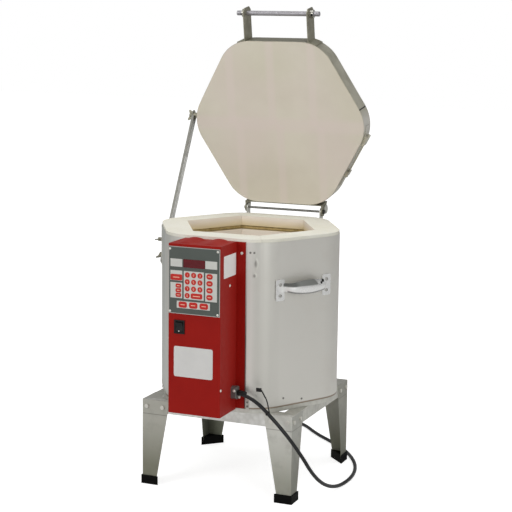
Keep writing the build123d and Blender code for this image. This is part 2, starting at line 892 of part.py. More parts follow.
# Band clamp: two folded loops on straps that follow the band, and the screw through them
lug_height = 26.0
lug_strap = 1.5
lug_rise = 6.2
lug_screw_reach = 3.6
lug_screw_radius = 1.8
lug_hole_play = 0.3
lug_head_radius = 3.5
lug_head_height = 4.0
lug_first = -80.0
lug_first_length = 28.0
lug_first_strap = 52.0
lug_second = 23.5
lug_second_length = 15.0
lug_second_strap = 44.0
lid_flat_turn = 30
lug_mid = (lid_low + lid_high) / 2


def lid_flat_face(turn, distance):
    a = radians(turn)
    center = Vector(kiln_x, kiln_y + hinge_y, hinge_z) - Vector(*lid_y_dir) * hinge_y
    out = Vector(1, 0, 0) * cos(a) + Vector(*lid_y_dir) * sin(a)
    along = Vector(1, 0, 0) * -sin(a) + Vector(*lid_y_dir) * cos(a)
    return Plane(center + out * distance, x_dir=along, z_dir=out)


def beside_flat(distance, along):
    a = radians(lid_flat_turn)
    return (distance * cos(a) - along * sin(a), distance * sin(a) + along * cos(a))


def clamp_half(lug, lug_length, strap_length, toward):
    strap_mid = lug + toward * (strap_length - lug_length) / 2
    with BuildSketch(Plane.XY, mode=Mode.PRIVATE) as outline:
        with Locations(beside_flat(flat, strap_mid)):
            Rectangle(body_corner, strap_length, rotation=lid_flat_turn)
        add(hexagon(body_across + 2 * (gap + lug_strap), body_corner + gap + lug_strap), mode=Mode.INTERSECT)
        with Locations(beside_flat(flat + gap - lug_rise, lug)):
            Rectangle(4 * lug_rise, lug_length, rotation=lid_flat_turn)
        add(hexagon(body_across + 2 * gap, body_corner + gap), mode=Mode.SUBTRACT)
    return outline.sketch


with BuildPart() as band_clamp:
    with BuildSketch(lid_level(lug_mid - lug_height / 2)):
        with Locations((0, -hinge_y)):
            add(clamp_half(lug_first, lug_first_length, lug_first_strap, -1))
            add(clamp_half(lug_second, lug_second_length, lug_second_strap, 1))
    extrude(amount=lug_height)
    lug_axis = lid_flat_face(lid_flat_turn, flat + gap + lug_screw_reach)
    across = Plane(lug_axis.origin + lug_axis.y_dir * lug_mid, x_dir=lug_axis.y_dir, z_dir=lug_axis.x_dir)
    screw_low = lug_first - lug_first_length / 2 - gap
    screw_high = lug_second + lug_second_length / 2 + gap
    with BuildSketch(across.offset(screw_low)):
        Circle(lug_screw_radius + lug_hole_play)
    extrude(amount=screw_high - screw_low, mode=Mode.SUBTRACT)
    with BuildSketch(across.offset(screw_low)):
        Circle(lug_screw_radius)
    extrude(amount=screw_high - screw_low)
    with BuildSketch(across.offset(screw_low - lug_head_height)):
        RegularPolygon(lug_head_radius, 6)
    extrude(amount=lug_head_height)
    with BuildSketch(across.offset(screw_high)):
        RegularPolygon(lug_head_radius, 6)
    extrude(amount=lug_head_height)
pieces["band_clamp"] = band_clamp.part

# Lid handle: two strap brackets, a turning bar and its set-screw collars
grip_x = 5.0
grip_spread = 87.0
grip_half = 113.0
grip_radius = 6.25
grip_running = 0.05
grip_chamfer = 0.8
bracket_sheet = 2.5
bracket_width = 48.0
bracket_tip_width = 30.0
bracket_reach = 82.0
bracket_bore_reach = 67.0
bracket_foot = 22.0
bracket_shoulder = 9.0
bracket_into = 6.0
collar_radius = 10.5
collar_width = 9.0
lid_front_y = -hinge_y - flat - gap
bore_y = lid_front_y - bracket_bore_reach


def strap_bracket(sx):
    at = grip_x + sx * grip_spread
    with BuildPart() as bracket:
        with BuildSketch(lid_side(at - bracket_sheet / 2)):
            with BuildLine():
                tip = lid_front_y - bracket_reach
                Polyline(
                    (lid_front_y + bracket_into, lug_mid - bracket_width / 2),
                    (lid_front_y + bracket_into, lug_mid + bracket_width / 2),
                    (tip + bracket_shoulder, lug_mid + bracket_width / 2),
                    (tip, lug_mid + bracket_tip_width / 2),
                    (tip, lug_mid - bracket_tip_width / 2),
                    (tip + bracket_shoulder, lug_mid - bracket_width / 2),
                    close=True,
                )
            make_face()
            with Locations((bore_y, lug_mid)):
                Circle(grip_radius + grip_running, mode=Mode.SUBTRACT)
        extrude(amount=bracket_sheet)
        with BuildSketch(lid_level(lug_mid - bracket_width / 2)):
            with Locations((at + sx * bracket_foot / 2, -hinge_y - flat)):
                Rectangle(bracket_foot, body_corner)
            with Locations((0, -hinge_y)):
                outer = hexagon(body_across + 2 * (gap + bracket_sheet), body_corner + gap + bracket_sheet)
                add(outer, mode=Mode.INTERSECT)
        extrude(amount=bracket_width)
        with BuildSketch(lid_level(lid_low)):
            with Locations((0, -hinge_y)):
                add(hexagon(body_across + 2 * gap, body_corner + gap))
        extrude(amount=lid_thickness, mode=Mode.SUBTRACT)
    return bracket.part


pieces["grip_bracket_left"] = strap_bracket(-1)
pieces["grip_bracket_right"] = strap_bracket(1)

with BuildPart() as grip_bar:
    with BuildSketch(lid_side(grip_x - grip_half)):
        with Locations((bore_y, lug_mid)):
            Circle(grip_radius)
    extrude(amount=2 * grip_half)
    chamfer(grip_bar.edges().filter_by(GeomType.CIRCLE), grip_chamfer)
pieces["grip_bar"] = grip_bar.part

with BuildPart() as grip_collars:
    for sx in (-1, 1):
        near = grip_x + sx * (grip_spread + bracket_sheet / 2 + gap)
        with BuildSketch(lid_side(min(near, near + sx * collar_width))):
            with Locations((bore_y, lug_mid)):
                Circle(collar_radius)
                Circle(grip_radius, mode=Mode.SUBTRACT)
        extrude(amount=collar_width)
pieces["grip_collars"] = grip_collars.part

# Hinge: base on the kiln's back, rod, and strap with ears on the lid
ear_sheet = 3.0
ear_spread = 104.0
ear_gap = 1.0
base_web_low = 560.0
base_web_high = 628.0
base_web_sheet = 2.5
base_top_radius = 10.0
lid_ear_radius = 12.0
lid_ear_spread = ear_spread + ear_sheet / 2 + ear_gap + ear_sheet / 2
rod_reach = 113.0
back = flat + gap
with BuildPart() as hinge_base:
    with BuildSketch(front(back + base_web_sheet)):
        with Locations((0, (base_web_low + base_web_high) / 2)):
            Rectangle(2 * ear_spread + ear_sheet, base_web_high - base_web_low)
    extrude(amount=base_web_sheet)
    for sx in (-1, 1):
        with BuildSketch(side(sx * ear_spread - ear_sheet / 2)):
            with BuildLine():
                Polyline(
                    (back, base_web_low),
                    (back, base_web_high),
                    (hinge_y - base_top_radius, base_web_high + base_top_radius),
                    (hinge_y - base_top_radius, hinge_z),
                    (hinge_y + base_top_radius, hinge_z),
                    (hinge_y + base_top_radius, base_web_high - base_top_radius),
                    (back + base_top_radius, base_web_low),
                    close=True,
                )
            make_face()
            with Locations((hinge_y, hinge_z)):
                Circle(base_top_radius)
                Circle(hinge_rod_radius, mode=Mode.SUBTRACT)
        extrude(amount=ear_sheet)
pieces["hinge_base"] = hinge_base.part

with BuildPart() as hinge_rod:
    with BuildSketch(side(-rod_reach)):
        with Locations((hinge_y, hinge_z)):
            Circle(hinge_rod_radius)
    extrude(amount=2 * rod_reach)
pieces["hinge_rod"] = hinge_rod.part

strap_low = lid_low + 3 * band_reveal
strap_high = lid_high - 3 * band_reveal
strap_y = -hinge_y + back
with BuildPart() as lid_hinge:
    with BuildSketch(lid_front(strap_y + base_web_sheet)):
        with Locations((0, (strap_low + strap_high) / 2)):
            Rectangle(2 * lid_ear_spread + ear_sheet, strap_high - strap_low)
    extrude(amount=base_web_sheet)
    for sx in (-1, 1):
        with BuildSketch(lid_side(sx * lid_ear_spread - ear_sheet / 2)):
            with BuildLine():
                Polyline(
                    (strap_y, strap_low),
                    (strap_y, strap_high),
                    (lid_ear_radius, lid_ear_radius / 2),
                    (lid_ear_radius, 0),
                    (0, -lid_ear_radius / 2),
                    close=True,
                )
            make_face()
            Circle(lid_ear_radius)
            Circle(hinge_rod_radius + hinge_running, mode=Mode.SUBTRACT)
        extrude(amount=ear_sheet)
pieces["lid_hinge"] = lid_hinge.part

# Lid stay: slotted channel from a bolt on the lid's left corner to a stud on the body
stay_radius = 245.0
stay_lid_lift = 7.0
stay_stud_drop = 110.0
stay_inner = 246.0
stay_depth = 6.0
stay_sheet = 1.5
stay_width = 18.0
stay_end = 21.0
stay_head = 14.0
stay_bolt_radius = 3.0
stay_running = 0.08
stud_slot_play = 1.0
bolt_y = -sqrt(stay_radius**2 - stay_lid_lift**2)
stud_y = -sqrt(stay_radius**2 - stay_stud_drop**2)
closed_angle = atan2(stay_lid_lift, -bolt_y) + atan2(stay_stud_drop, -stud_y)
open_angle = closed_angle + lid_turn
chord_open = 2 * stay_radius * sin(open_angle / 2)
chord_closed = 2 * stay_radius * sin(closed_angle / 2)
stay_travel = chord_open - chord_closed
stay_plane_x = -stay_inner - stay_depth
stud_point = Vector(kiln_x + stay_plane_x, kiln_y + hinge_y + stud_y, hinge_z - stay_stud_drop)
bolt_point = (
    Vector(kiln_x + stay_plane_x, kiln_y + hinge_y, hinge_z)
    + Vector(*lid_y_dir) * bolt_y
    + Vector(*lid_out_dir) * stay_lid_lift
)
stay_dir = (stud_point - bolt_point).normalized()
stay_frame = Plane(bolt_point, x_dir=stay_dir, z_dir=(1, 0, 0))
print("stay chord open", round(chord_open, 2), "closed", round(chord_closed, 2))
print("stay bolt", bolt_point, "stud", stud_point)

with BuildPart() as stay_arm:
    length = chord_open + stay_head + stay_end
    with BuildSketch(stay_frame):
        with Locations(((chord_open + stay_end - stay_head) / 2, 0)):
            SlotOverall(length, stay_width)
    extrude(amount=stay_sheet)
    with BuildSketch(stay_frame):
        with Locations(((chord_open + stay_end - stay_head) / 2, 0)):
            Rectangle(length - 2 * stay_width, stay_width)
            Rectangle(length - 2 * stay_width, stay_width - 2 * stay_sheet, mode=Mode.SUBTRACT)
    extrude(amount=stay_depth)
    with BuildSketch(stay_frame):
        Circle(stay_bolt_radius + stay_running)
        with Locations(((chord_open + chord_closed) / 2, 0)):
            SlotCenterToCenter(stay_travel, 2 * (stay_bolt_radius + stud_slot_play))
    extrude(amount=stay_depth, mode=Mode.SUBTRACT)
pieces["stay_arm"] = stay_arm.part

# Bolt through the lid's band and the stud on the body's bracket
nut_hub_radius = 5.0
nut_hub_height = 9.0
wing_span = 30.0
wing_rise = 5.0
wing_sheet = 2.4
wing_fold = 11.5
stay_base_sheet = 2.0


def wing_nut(point, lean, span, bored=True):
    c, s = cos(radians(lean)), sin(radians(lean))
    outside = Plane(point - Vector(gap, 0, 0), x_dir=(0, c, s), z_dir=(-1, 0, 0))
    across_wings = Plane(outside.origin, x_dir=(0, c, s), z_dir=(0, -s, c))
    with BuildPart() as nut:
        with BuildSketch(outside):
            Circle(nut_hub_radius)
        extrude(amount=nut_hub_height)
        with BuildSketch(across_wings.offset(-wing_sheet / 2)):
            for hand in (-1, 1):
                with BuildLine():
                    Polyline(
                        (0, nut_hub_height / 5),
                        (hand * span / 3, nut_hub_height / 3),
                        (hand * span / 2, nut_hub_height + wing_rise * 2 / 3),
                        (hand * wing_fold, nut_hub_height + wing_rise),
                        (0, nut_hub_height),
                        close=True,
                    )
                make_face()
        extrude(amount=wing_sheet)
        if bored:
            with BuildSketch(outside):
                Circle(stay_bolt_radius + stay_running)
            extrude(amount=2 * nut_hub_height, mode=Mode.SUBTRACT)
    return nut.part


pieces["stay_lid_nut"] = wing_nut(bolt_point, 70, wing_span)
pieces["stay_stud_nut"] = wing_nut(stud_point, 20, wing_span)

shank_end = nut_hub_height + 2.0
boss_radius = 7.0
boss_foot = -corner_reach - gap


def boss_and_shank(point, foot_x):
    inner = kiln_x + stay_plane_x + stay_sheet + gap
    with BuildPart() as stud:
        with BuildSketch(Plane(Vector(foot_x, point.Y, point.Z), x_dir=(0, 1, 0), z_dir=(-1, 0, 0))):
            Circle(boss_radius)
        extrude(amount=foot_x - inner)
        with BuildSketch(Plane(Vector(foot_x, point.Y, point.Z), x_dir=(0, 1, 0), z_dir=(-1, 0, 0))):
            Circle(stay_bolt_radius)
        extrude(amount=foot_x - point.X + shank_end)
    return stud.part


pieces["stay_lid_bolt"] = boss_and_shank(bolt_point, kiln_x + boss_foot)

# Bracket on the jacket's left corner: plate bent round the corner, and the stud
bracket_below_stud = 15.5
bracket_above_stud = 88.5
bracket_ahead_stud = 48.0
bracket_behind_stud = 16.0
bracket_low = hinge_z - stay_stud_drop - bracket_below_stud
bracket_tall = bracket_below_stud + bracket_above_stud
bracket_long = bracket_ahead_stud + bracket_behind_stud
bracket_mid_y = hinge_y + stud_y + (bracket_behind_stud - bracket_ahead_stud) / 2
plate_across = body_across + 2 * (gap + stay_base_sheet)
plate_corner = body_corner + gap + stay_base_sheet
with BuildPart() as stay_bracket:
    with BuildSketch(level(bracket_low)):
        with Locations((-flat, bracket_mid_y)):
            Rectangle(flat, bracket_long)
        add(hexagon(plate_across, plate_corner), mode=Mode.INTERSECT)
    extrude(amount=bracket_tall)
    add(boss_and_shank(stud_point, kiln_x - corner_reach + boss_radius))
    with BuildSketch(level(bracket_low)):
        add(hexagon(body_across + 2 * gap, body_corner + gap))
    extrude(amount=bracket_tall, mode=Mode.SUBTRACT)
pieces["stay_bracket"] = stay_bracket.part

# Left handle: the right one's twin, its front plate just behind the stay bracket
handle_left_turn = 150
handle_bracket_gap = 1.889
plate_front_y = hinge_y + stud_y + bracket_behind_stud + handle_bracket_gap
face_center_y = (flat + gap) * sin(radians(handle_left_turn))
plate_front_along = (plate_front_y - face_center_y) / cos(radians(handle_left_turn))
handle_shift = plate_front_along - handle_plate_along - handle_plate_width / 2
pieces["handle_left"] = side_handle(handle_left_turn, handle_shift)

# Clamping wing screw on the bracket
wing_screw_ahead = 38.1
wing_screw_lift = 48.5
wing_screw_span = 24.0
wing_screw_y = hinge_y + stud_y - wing_screw_ahead
wing_screw_edge = abs(wing_screw_y) - nut_hub_radius
screw_seat = -corner_center - sqrt(plate_corner**2 - wing_screw_edge**2)
screw_point = Vector(kiln_x + screw_seat, kiln_y + wing_screw_y, stud_point.Z + wing_screw_lift)
pieces["bracket_wing_screw"] = wing_nut(screw_point, 0, wing_screw_span, bored=False)

# Metal cord clamp on the box's right side: two jaws round the cord
clamp_radius = 16.0
clamp_flat = 11.0
clamp_length = 14.0
clamp_flange = 3.0
clamp_bore = cord_diameter / 2 + gap
with BuildPart() as cord_clamp:
    with BuildSketch(side(box_right + gap / 3)):
        with Locations((clamp_y, clamp_z)):
            Circle(clamp_radius)
            Rectangle(2 * clamp_flat, 2 * clamp_radius, mode=Mode.INTERSECT)
            Circle(clamp_bore, mode=Mode.SUBTRACT)
    extrude(amount=clamp_length)
    fillet(cord_clamp.edges().group_by(Axis.X)[-1].filter_by(GeomType.LINE), clamp_flange / 2)
pieces["cord_clamp"] = cord_clamp.part

# Cord: from inside the box through the clamp, down to the floor and round behind the kiln
cord_radius = cord_diameter / 2
floor_lift = cord_radius + gap
entry_dir = Vector(-0.99, 0.141).normalized()
coil_start = Vector(-255.0, 508.0, floor_lift)
coil_lead = 120.0
route = (
    (51.0, clamp_y, clamp_z),
    (101.0, clamp_y, clamp_z),
    (170.0, -232.0, 212.0),
    (221.0, -213.0, 143.0),
    (247.0, -150.0, 50.0),
    (261.0, -55.0, floor_lift),
    (272.0, 45.0, floor_lift),
    (247.0, 150.0, floor_lift),
    (188.0, 250.0, floor_lift),
    (110.0, 326.0, floor_lift),
    (50.0, 376.0, floor_lift),
    (-24.0, 462.0, floor_lift),
    tuple(coil_start - entry_dir * coil_lead),
)


def shifted(points):
    return [Vector(kiln_x, kiln_y, 0) + Vector(*point) for point in points]


def bend_radii(points):
    radii = []
    for before, here, after in zip(points, points[1:], points[2:]):
        into, away = here - before, after - here
        turn = radians(into.get_angle(away))
        radii.append(round(run_share * min(into.length, away.length) / tan(turn / 2), 1))
    return radii


run_share = 0.45
route_points = shifted(route)
route_points.append(Vector(kiln_x, kiln_y, 0) + coil_start - entry_dir * cord_diameter)
radii = bend_radii(route_points)
print("cord bend radii", radii)
with BuildPart() as cord:
    with BuildLine() as cord_line:
        FilletPolyline(*route_points, radius=radii)
    with BuildSketch(Plane(cord_line.line @ 0, z_dir=cord_line.line % 0)):
        Circle(cord_radius)
    sweep(path=cord_line.line)
cord_length = Wire(cord_line.edges()).length
cord_fill = cord.part.volume / (pi * cord_radius**2 * cord_length)
print("cord length", round(cord_length, 1), "volume ratio", round(cord_fill, 4))
pieces["cord"] = cord.part

# Spare cord: one and a half rising loops, swept on pairs of arcs
coil_radius_mid = 50.0
coil_quarters = 6
coil_tail = 32.0
coil_rise = 14.0
ahead = Vector(entry_dir.Y, -entry_dir.X)
coil_center = Vector(kiln_x, kiln_y, 0) + coil_start + ahead * coil_radius_mid
entry_angle = atan2(-ahead.Y, -ahead.X)


def coil_point(u):
    a = entry_angle - u * coil_quarters * pi / 2
    rise = coil_rise * (3 * u**2 - 2 * u**3)
    return coil_center + Vector(coil_radius_mid * cos(a), coil_radius_mid * sin(a), rise)


def coil_tangent(u):
    a = entry_angle - u * coil_quarters * pi / 2
    climb = coil_rise * 6 * u * (1 - u) / (coil_quarters * pi / 2 * coil_radius_mid)
    return Vector(sin(a), -cos(a), climb).normalized()


def arc_pair(p0, t0, p1, t1):
    v = p1 - p0
    t = t0 + t1
    a = t.dot(t) - 4
    b = -2 * v.dot(t)
    c = v.dot(v)
    d = (-b - sqrt(b * b - 4 * a * c)) / (2 * a)
    if d < 0:
        d = (-b + sqrt(b * b - 4 * a * c)) / (2 * a)
    middle = (p0 + t0 * d + p1 - t1 * d) * 0.5
    TangentArc(p0, middle, tangent=t0)
    TangentArc(p1, middle, tangent=t1 * -1)


with BuildPart() as cord_coil:
    with BuildLine() as coil_line:
        Line(coil_point(0) - coil_tangent(0) * cord_diameter, coil_point(0))
        for quarter in range(coil_quarters):
            u0, u1 = quarter / coil_quarters, (quarter + 1) / coil_quarters
            arc_pair(coil_point(u0), coil_tangent(u0), coil_point(u1), coil_tangent(u1))
        Line(coil_point(1), coil_point(1) + coil_tangent(1) * coil_tail)
    coil_wire = Wire(coil_line.edges())
    with BuildSketch(Plane(coil_point(0) - coil_tangent(0) * cord_diameter, z_dir=coil_tangent(0))):
        Circle(cord_radius)
    sweep(path=coil_wire)
whole_turn = 4 / coil_quarters
gap_samples = 20
coil_gaps = []
for sample in range(gap_samples + 1):
    u = sample / gap_samples * (1 - whole_turn)
    coil_gaps.append((coil_point(u + whole_turn) - coil_point(u)).length - cord_diameter)
print("coil least gap", round(min(coil_gaps), 2), "length", round(coil_wire.length, 1))
pieces["cord_coil"] = cord_coil.part

# Plug at the spare cord's end: round moulded body with three blades
plug_radius = 18.6
plug_neck_radius = 9.0
plug_neck = 18.0
plug_body = 34.0
plug_front_radius = 16.5
blade_length = 18.0
blade_thick = 1.6
blade_wide = 6.4
blade_spacing = 12.7
ground_radius = 2.4
ground_drop = 9.0
plug_start = coil_point(1) + coil_tangent(1) * coil_tail
plug_plane = Plane(plug_start, x_dir=(0, 0, 1), z_dir=coil_tangent(1))
with BuildPart() as plug:
    with BuildSketch(plug_plane):
        Circle(plug_neck_radius)
    extrude(amount=plug_neck)
    with BuildSketch(plug_plane.offset(plug_neck - gap)):
        Circle(plug_front_radius)
    with BuildSketch(plug_plane.offset(plug_neck + plug_body / 2)):
        Circle(plug_radius)
    loft()
    with BuildSketch(plug_plane.offset(plug_neck + plug_body / 2)):
        Circle(plug_radius)
    extrude(amount=plug_body / 2)
    with BuildSketch(plug_plane.offset(plug_neck + plug_body)):
        with GridLocations(1, blade_spacing, 1, 2):
            Rectangle(blade_wide, blade_thick)
        with Locations((-ground_drop, 0)):
            Circle(ground_radius)
    extrude(amount=blade_length)
pieces["plug"] = plug.part

# Tie left on the cord: a loop round it and a stiff tail with a flat head
tie_at = 0.088
tie_width = 4.0
tie_sheet = 1.4
tie_head_long = 13.0
tie_head_wide = 9.0
tie_head_thick = 3.0
tie_tail_bend = 40.0
tie_tail_mid = Vector(-5.0, -3.0, 28.0)
tie_tail_end = Vector(-18.0, -7.0, 53.0)
tie_point = cord_line.line @ tie_at
tie_along = cord_line.line % tie_at
with BuildPart() as cord_tie:
    with BuildSketch(Plane(tie_point - tie_along * (tie_width / 2), z_dir=tie_along)):
        Circle(cord_radius + gap + tie_sheet)
        Circle(cord_radius + gap, mode=Mode.SUBTRACT)
    extrude(amount=tie_width)
    tie_up = (Vector(0, 0, 1) - tie_along * tie_along.Z).normalized()
    tail_start = tie_point + tie_up * (cord_radius + gap + tie_sheet / 2)
    tail = (tail_start, tail_start + tie_tail_mid, tail_start + tie_tail_end)
    with BuildLine() as tail_line:
        FilletPolyline(*tail, radius=tie_tail_bend)
    with BuildSketch(Plane(tail_line.line @ 0, x_dir=(0, 1, 0), z_dir=tail_line.line % 0)):
        Rectangle(tie_width, tie_sheet)
    sweep(path=tail_line.line)
    with Locations(tail_line.line @ 1 - Vector(tie_head_long / 2, 0, 0)):
        Box(tie_head_long, tie_head_thick, tie_head_wide)
pieces["cord_tie"] = cord_tie.part

# Write every piece and print the size of the whole
cord_pieces = ("cord", "cord_coil", "plug", "cord_tie")
boxes = []
for name, piece in pieces.items():
    piece.label = name
    export_step(piece, "parts/" + name + ".step")
    if name not in cord_pieces:
        boxes.append(piece.bounding_box())
low = [min(getattr(box.min, axis) for box in boxes) for axis in "XYZ"]
high = [max(getattr(box.max, axis) for box in boxes) for axis in "XYZ"]
print("pieces", len(pieces))
print("size", [round(b - a, 2) for a, b in zip(low, high)])
print("middle", [round((a + b) / 2, 2) for a, b in zip(low, high)], "low z", round(low[2], 2))
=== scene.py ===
import math
from collections import namedtuple

import bmesh
import bpy
from mathutils import Matrix, Vector


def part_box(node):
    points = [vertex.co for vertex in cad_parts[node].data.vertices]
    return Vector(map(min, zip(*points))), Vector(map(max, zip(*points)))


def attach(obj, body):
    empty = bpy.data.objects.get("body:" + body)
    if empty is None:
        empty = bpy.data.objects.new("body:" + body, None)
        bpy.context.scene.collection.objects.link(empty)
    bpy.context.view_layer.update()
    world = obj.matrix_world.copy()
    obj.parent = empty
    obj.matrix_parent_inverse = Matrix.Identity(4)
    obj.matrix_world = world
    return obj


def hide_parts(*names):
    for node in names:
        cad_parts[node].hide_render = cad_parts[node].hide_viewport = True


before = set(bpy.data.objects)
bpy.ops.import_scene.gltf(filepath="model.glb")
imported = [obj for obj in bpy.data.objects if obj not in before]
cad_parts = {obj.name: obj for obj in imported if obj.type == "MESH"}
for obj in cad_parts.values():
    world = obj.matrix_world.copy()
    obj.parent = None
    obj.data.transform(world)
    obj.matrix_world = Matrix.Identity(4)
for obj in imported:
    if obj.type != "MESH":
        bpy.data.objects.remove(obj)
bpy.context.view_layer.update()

rightward = Vector((1, 0, 0))
rearward = Vector((0, 1, 0))
upward = Vector((0, 0, 1))
frontward = Vector((0, -1, 0))

# The kiln's upright axis, from the jacket, and points in millimetres from it and the floor
MM = 0.001
jacket_low, jacket_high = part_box("jacket")
axis_x = (jacket_low.x + jacket_high.x) / 2
axis_y = (jacket_low.y + jacket_high.y) / 2


def at(x, y, z):
    return Vector((axis_x + x * MM, axis_y + y * MM, z * MM))


kiln_axis = at(0, 0, 0)

# Camera at the photograph's viewing angle
view_azimuth = math.radians(22.657)
view_elevation = math.radians(9.558)
view_roll = math.radians(0.674)
view_distance = 3.725
view_target = at(15.33, 6.20, 563.21)
sensor_width = 36.0
focal_length = 103.79

# From the target to the camera
back = Vector(
    (
        math.sin(view_azimuth) * math.cos(view_elevation),
        -math.cos(view_azimuth) * math.cos(view_elevation),
        math.sin(view_elevation),
    )
)
level_right = upward.cross(back).normalized()
level_up = back.cross(level_right)
camera_right = level_right * math.cos(view_roll) + level_up * math.sin(view_roll)
camera_up = level_up * math.cos(view_roll) - level_right * math.sin(view_roll)
camera_data = bpy.data.cameras.new("camera")
camera_data.sensor_width = sensor_width
camera_data.lens = focal_length
camera = bpy.data.objects.new("camera", camera_data)
bpy.context.collection.objects.link(camera)
camera_turn = Matrix((camera_right, camera_up, back)).transposed().to_4x4()
camera.matrix_world = Matrix.Translation(view_target + back * view_distance) @ camera_turn
bpy.context.scene.camera = camera


# Colours and shader nodes
def srgb(red, green, blue):
    def linear(value):
        value /= 255
        if value <= 0.04045:
            return value / 12.92
        return ((value + 0.055) / 1.055) ** 2.4

    return (linear(red), linear(green), linear(blue), 1.0)


def grey(level):
    return (level, level, level, 1.0)


def surface(name, color, roughness, metallic=0.0, specular=None):
    material = bpy.data.materials.new(name)
    material.use_nodes = True
    material.diffuse_color = color
    sockets = shader_of(material).inputs
    sockets["Base Color"].default_value = color
    sockets["Roughness"].default_value = roughness
    sockets["Metallic"].default_value = metallic
    if specular is not None:
        sockets["Specular IOR Level"].default_value = specular
    return material


def shader_of(material):
    return material.node_tree.nodes["Principled BSDF"]


def coordinates(material, kind="Object"):
    return material.node_tree.nodes.new("ShaderNodeTexCoord").outputs[kind]


def stretched(material, stretch):
    """Object coordinates, stretched along each axis."""
    tree = material.node_tree
    mapping = tree.nodes.new("ShaderNodeMapping")
    mapping.inputs["Scale"].default_value = stretch
    tree.links.new(coordinates(material), mapping.inputs["Vector"])
    return mapping.outputs["Vector"]


noise_roughness = 0.55


def noise(material, scale, detail, stretch=(1, 1, 1)):
    tree = material.node_tree
    node = tree.nodes.new("ShaderNodeTexNoise")
    node.inputs["Scale"].default_value = scale
    node.inputs["Detail"].default_value = detail
    node.inputs["Roughness"].default_value = noise_roughness
    tree.links.new(stretched(material, stretch), node.inputs["Vector"])
    return node.outputs["Fac"]


def cells(material, scale):
    """The distance from the middles of small cells."""
    tree = material.node_tree
    node = tree.nodes.new("ShaderNodeTexVoronoi")
    node.inputs["Scale"].default_value = scale
    tree.links.new(stretched(material, (1, 1, 1)), node.inputs["Vector"])
    return node.outputs["Distance"]


def spread(material, value, low, high, to_low=0.0, to_high=1.0):
    """A value mapped from one span to another and held inside it."""
    tree = material.node_tree
    node = tree.nodes.new("ShaderNodeMapRange")
    node.inputs["From Min"].default_value = low
    node.inputs["From Max"].default_value = high
    node.inputs["To Min"].default_value = to_low
    node.inputs["To Max"].default_value = to_high
    tree.links.new(value, node.inputs["Value"])
    return node.outputs["Result"]


def combine(material, operation, first, second):
    tree = material.node_tree
    node = tree.nodes.new("ShaderNodeMath")
    node.operation = operation
    for socket, value in zip(node.inputs, (first, second)):
        if isinstance(value, (int, float)):
            socket.default_value = value
        else:
            tree.links.new(value, socket)
    return node.outputs["Value"]


def times(material, product, *factors):
    for factor in factors:
        product = combine(material, "MULTIPLY", product, factor)
    return product


def vector_node(material, operation, value, other=None):
    tree = material.node_tree
    node = tree.nodes.new("ShaderNodeVectorMath")
    node.operation = operation
    tree.links.new(value, node.inputs[0])
    if other is not None:
        node.inputs[1].default_value = other
    return node


def paint(material, factor, color):
    """Lay a second colour over the surface's colour where the factor is high."""
    tree = material.node_tree
    base = shader_of(material).inputs["Base Color"]
    mix = tree.nodes.new("ShaderNodeMix")
    mix.data_type = "RGBA"
    tree.links.new(factor, mix.inputs["Factor"])
    if base.is_linked:
        tree.links.new(base.links[0].from_socket, mix.inputs["A"])
    else:
        mix.inputs["A"].default_value = base.default_value
    mix.inputs["B"].default_value = color
    tree.links.new(mix.outputs["Result"], base)


def mottle(material, scale, detail, span, color, most=1.0):
    """Patches of a second colour, rising over the given span of a noise."""
    paint(material, spread(material, noise(material, scale, detail), *span, to_high=most), color)


def roughen(material, factor, low, high):
    roughness = spread(material, factor, 0.0, 1.0, low, high)
    material.node_tree.links.new(roughness, shader_of(material).inputs["Roughness"])


def emboss(material, height, strength, depth):
    """Add a bump of this depth in metres to the surface's normal."""
    tree = material.node_tree
    normal = shader_of(material).inputs["Normal"]
    node = tree.nodes.new("ShaderNodeBump")
    node.inputs["Strength"].default_value = strength
    node.inputs["Distance"].default_value = depth
    tree.links.new(height, node.inputs["Height"])
    if normal.is_linked:
        tree.links.new(normal.links[0].from_socket, node.inputs["Normal"])
    tree.links.new(node.outputs["Normal"], normal)


def axis_value(material, direction):
    """How far a point of the surface lies along a direction, in metres."""
    return vector_node(material, "DOT_PRODUCT", coordinates(material), direction).outputs["Value"]


def beyond(material, direction, point):
    """How far a point of the surface lies beyond another along a direction, in metres."""
    return combine(material, "SUBTRACT", axis_value(material, direction), direction.dot(point))


def facing(material, direction):
    """How squarely the surface faces a direction, one when it faces it fully."""
    normal = coordinates(material, "Normal")
    return vector_node(material, "DOT_PRODUCT", normal, direction).outputs["Value"]


def near_point(material, point, reach, squeeze=(1, 1, 1)):
    """One at a point, falling to zero at the reach, with its distance squeezed along each axis."""
    away = vector_node(material, "SUBTRACT", coordinates(material), point)
    scaled = vector_node(material, "MULTIPLY", away.outputs["Vector"], squeeze)
    size = vector_node(material, "LENGTH", scaled.outputs["Vector"])
    return spread(material, size.outputs["Value"], 0.0, reach, to_low=1.0, to_high=0.0)


def line_at(material, value, middle, half_width, strength=1.0):
    """Full strength where a value is close to the middle, falling to zero at the half width."""
    away = combine(material, "ABSOLUTE", combine(material, "SUBTRACT", value, middle), 0.0)
    core = half_width * 0.4
    return spread(material, away, core, half_width, to_low=strength, to_high=0.0)


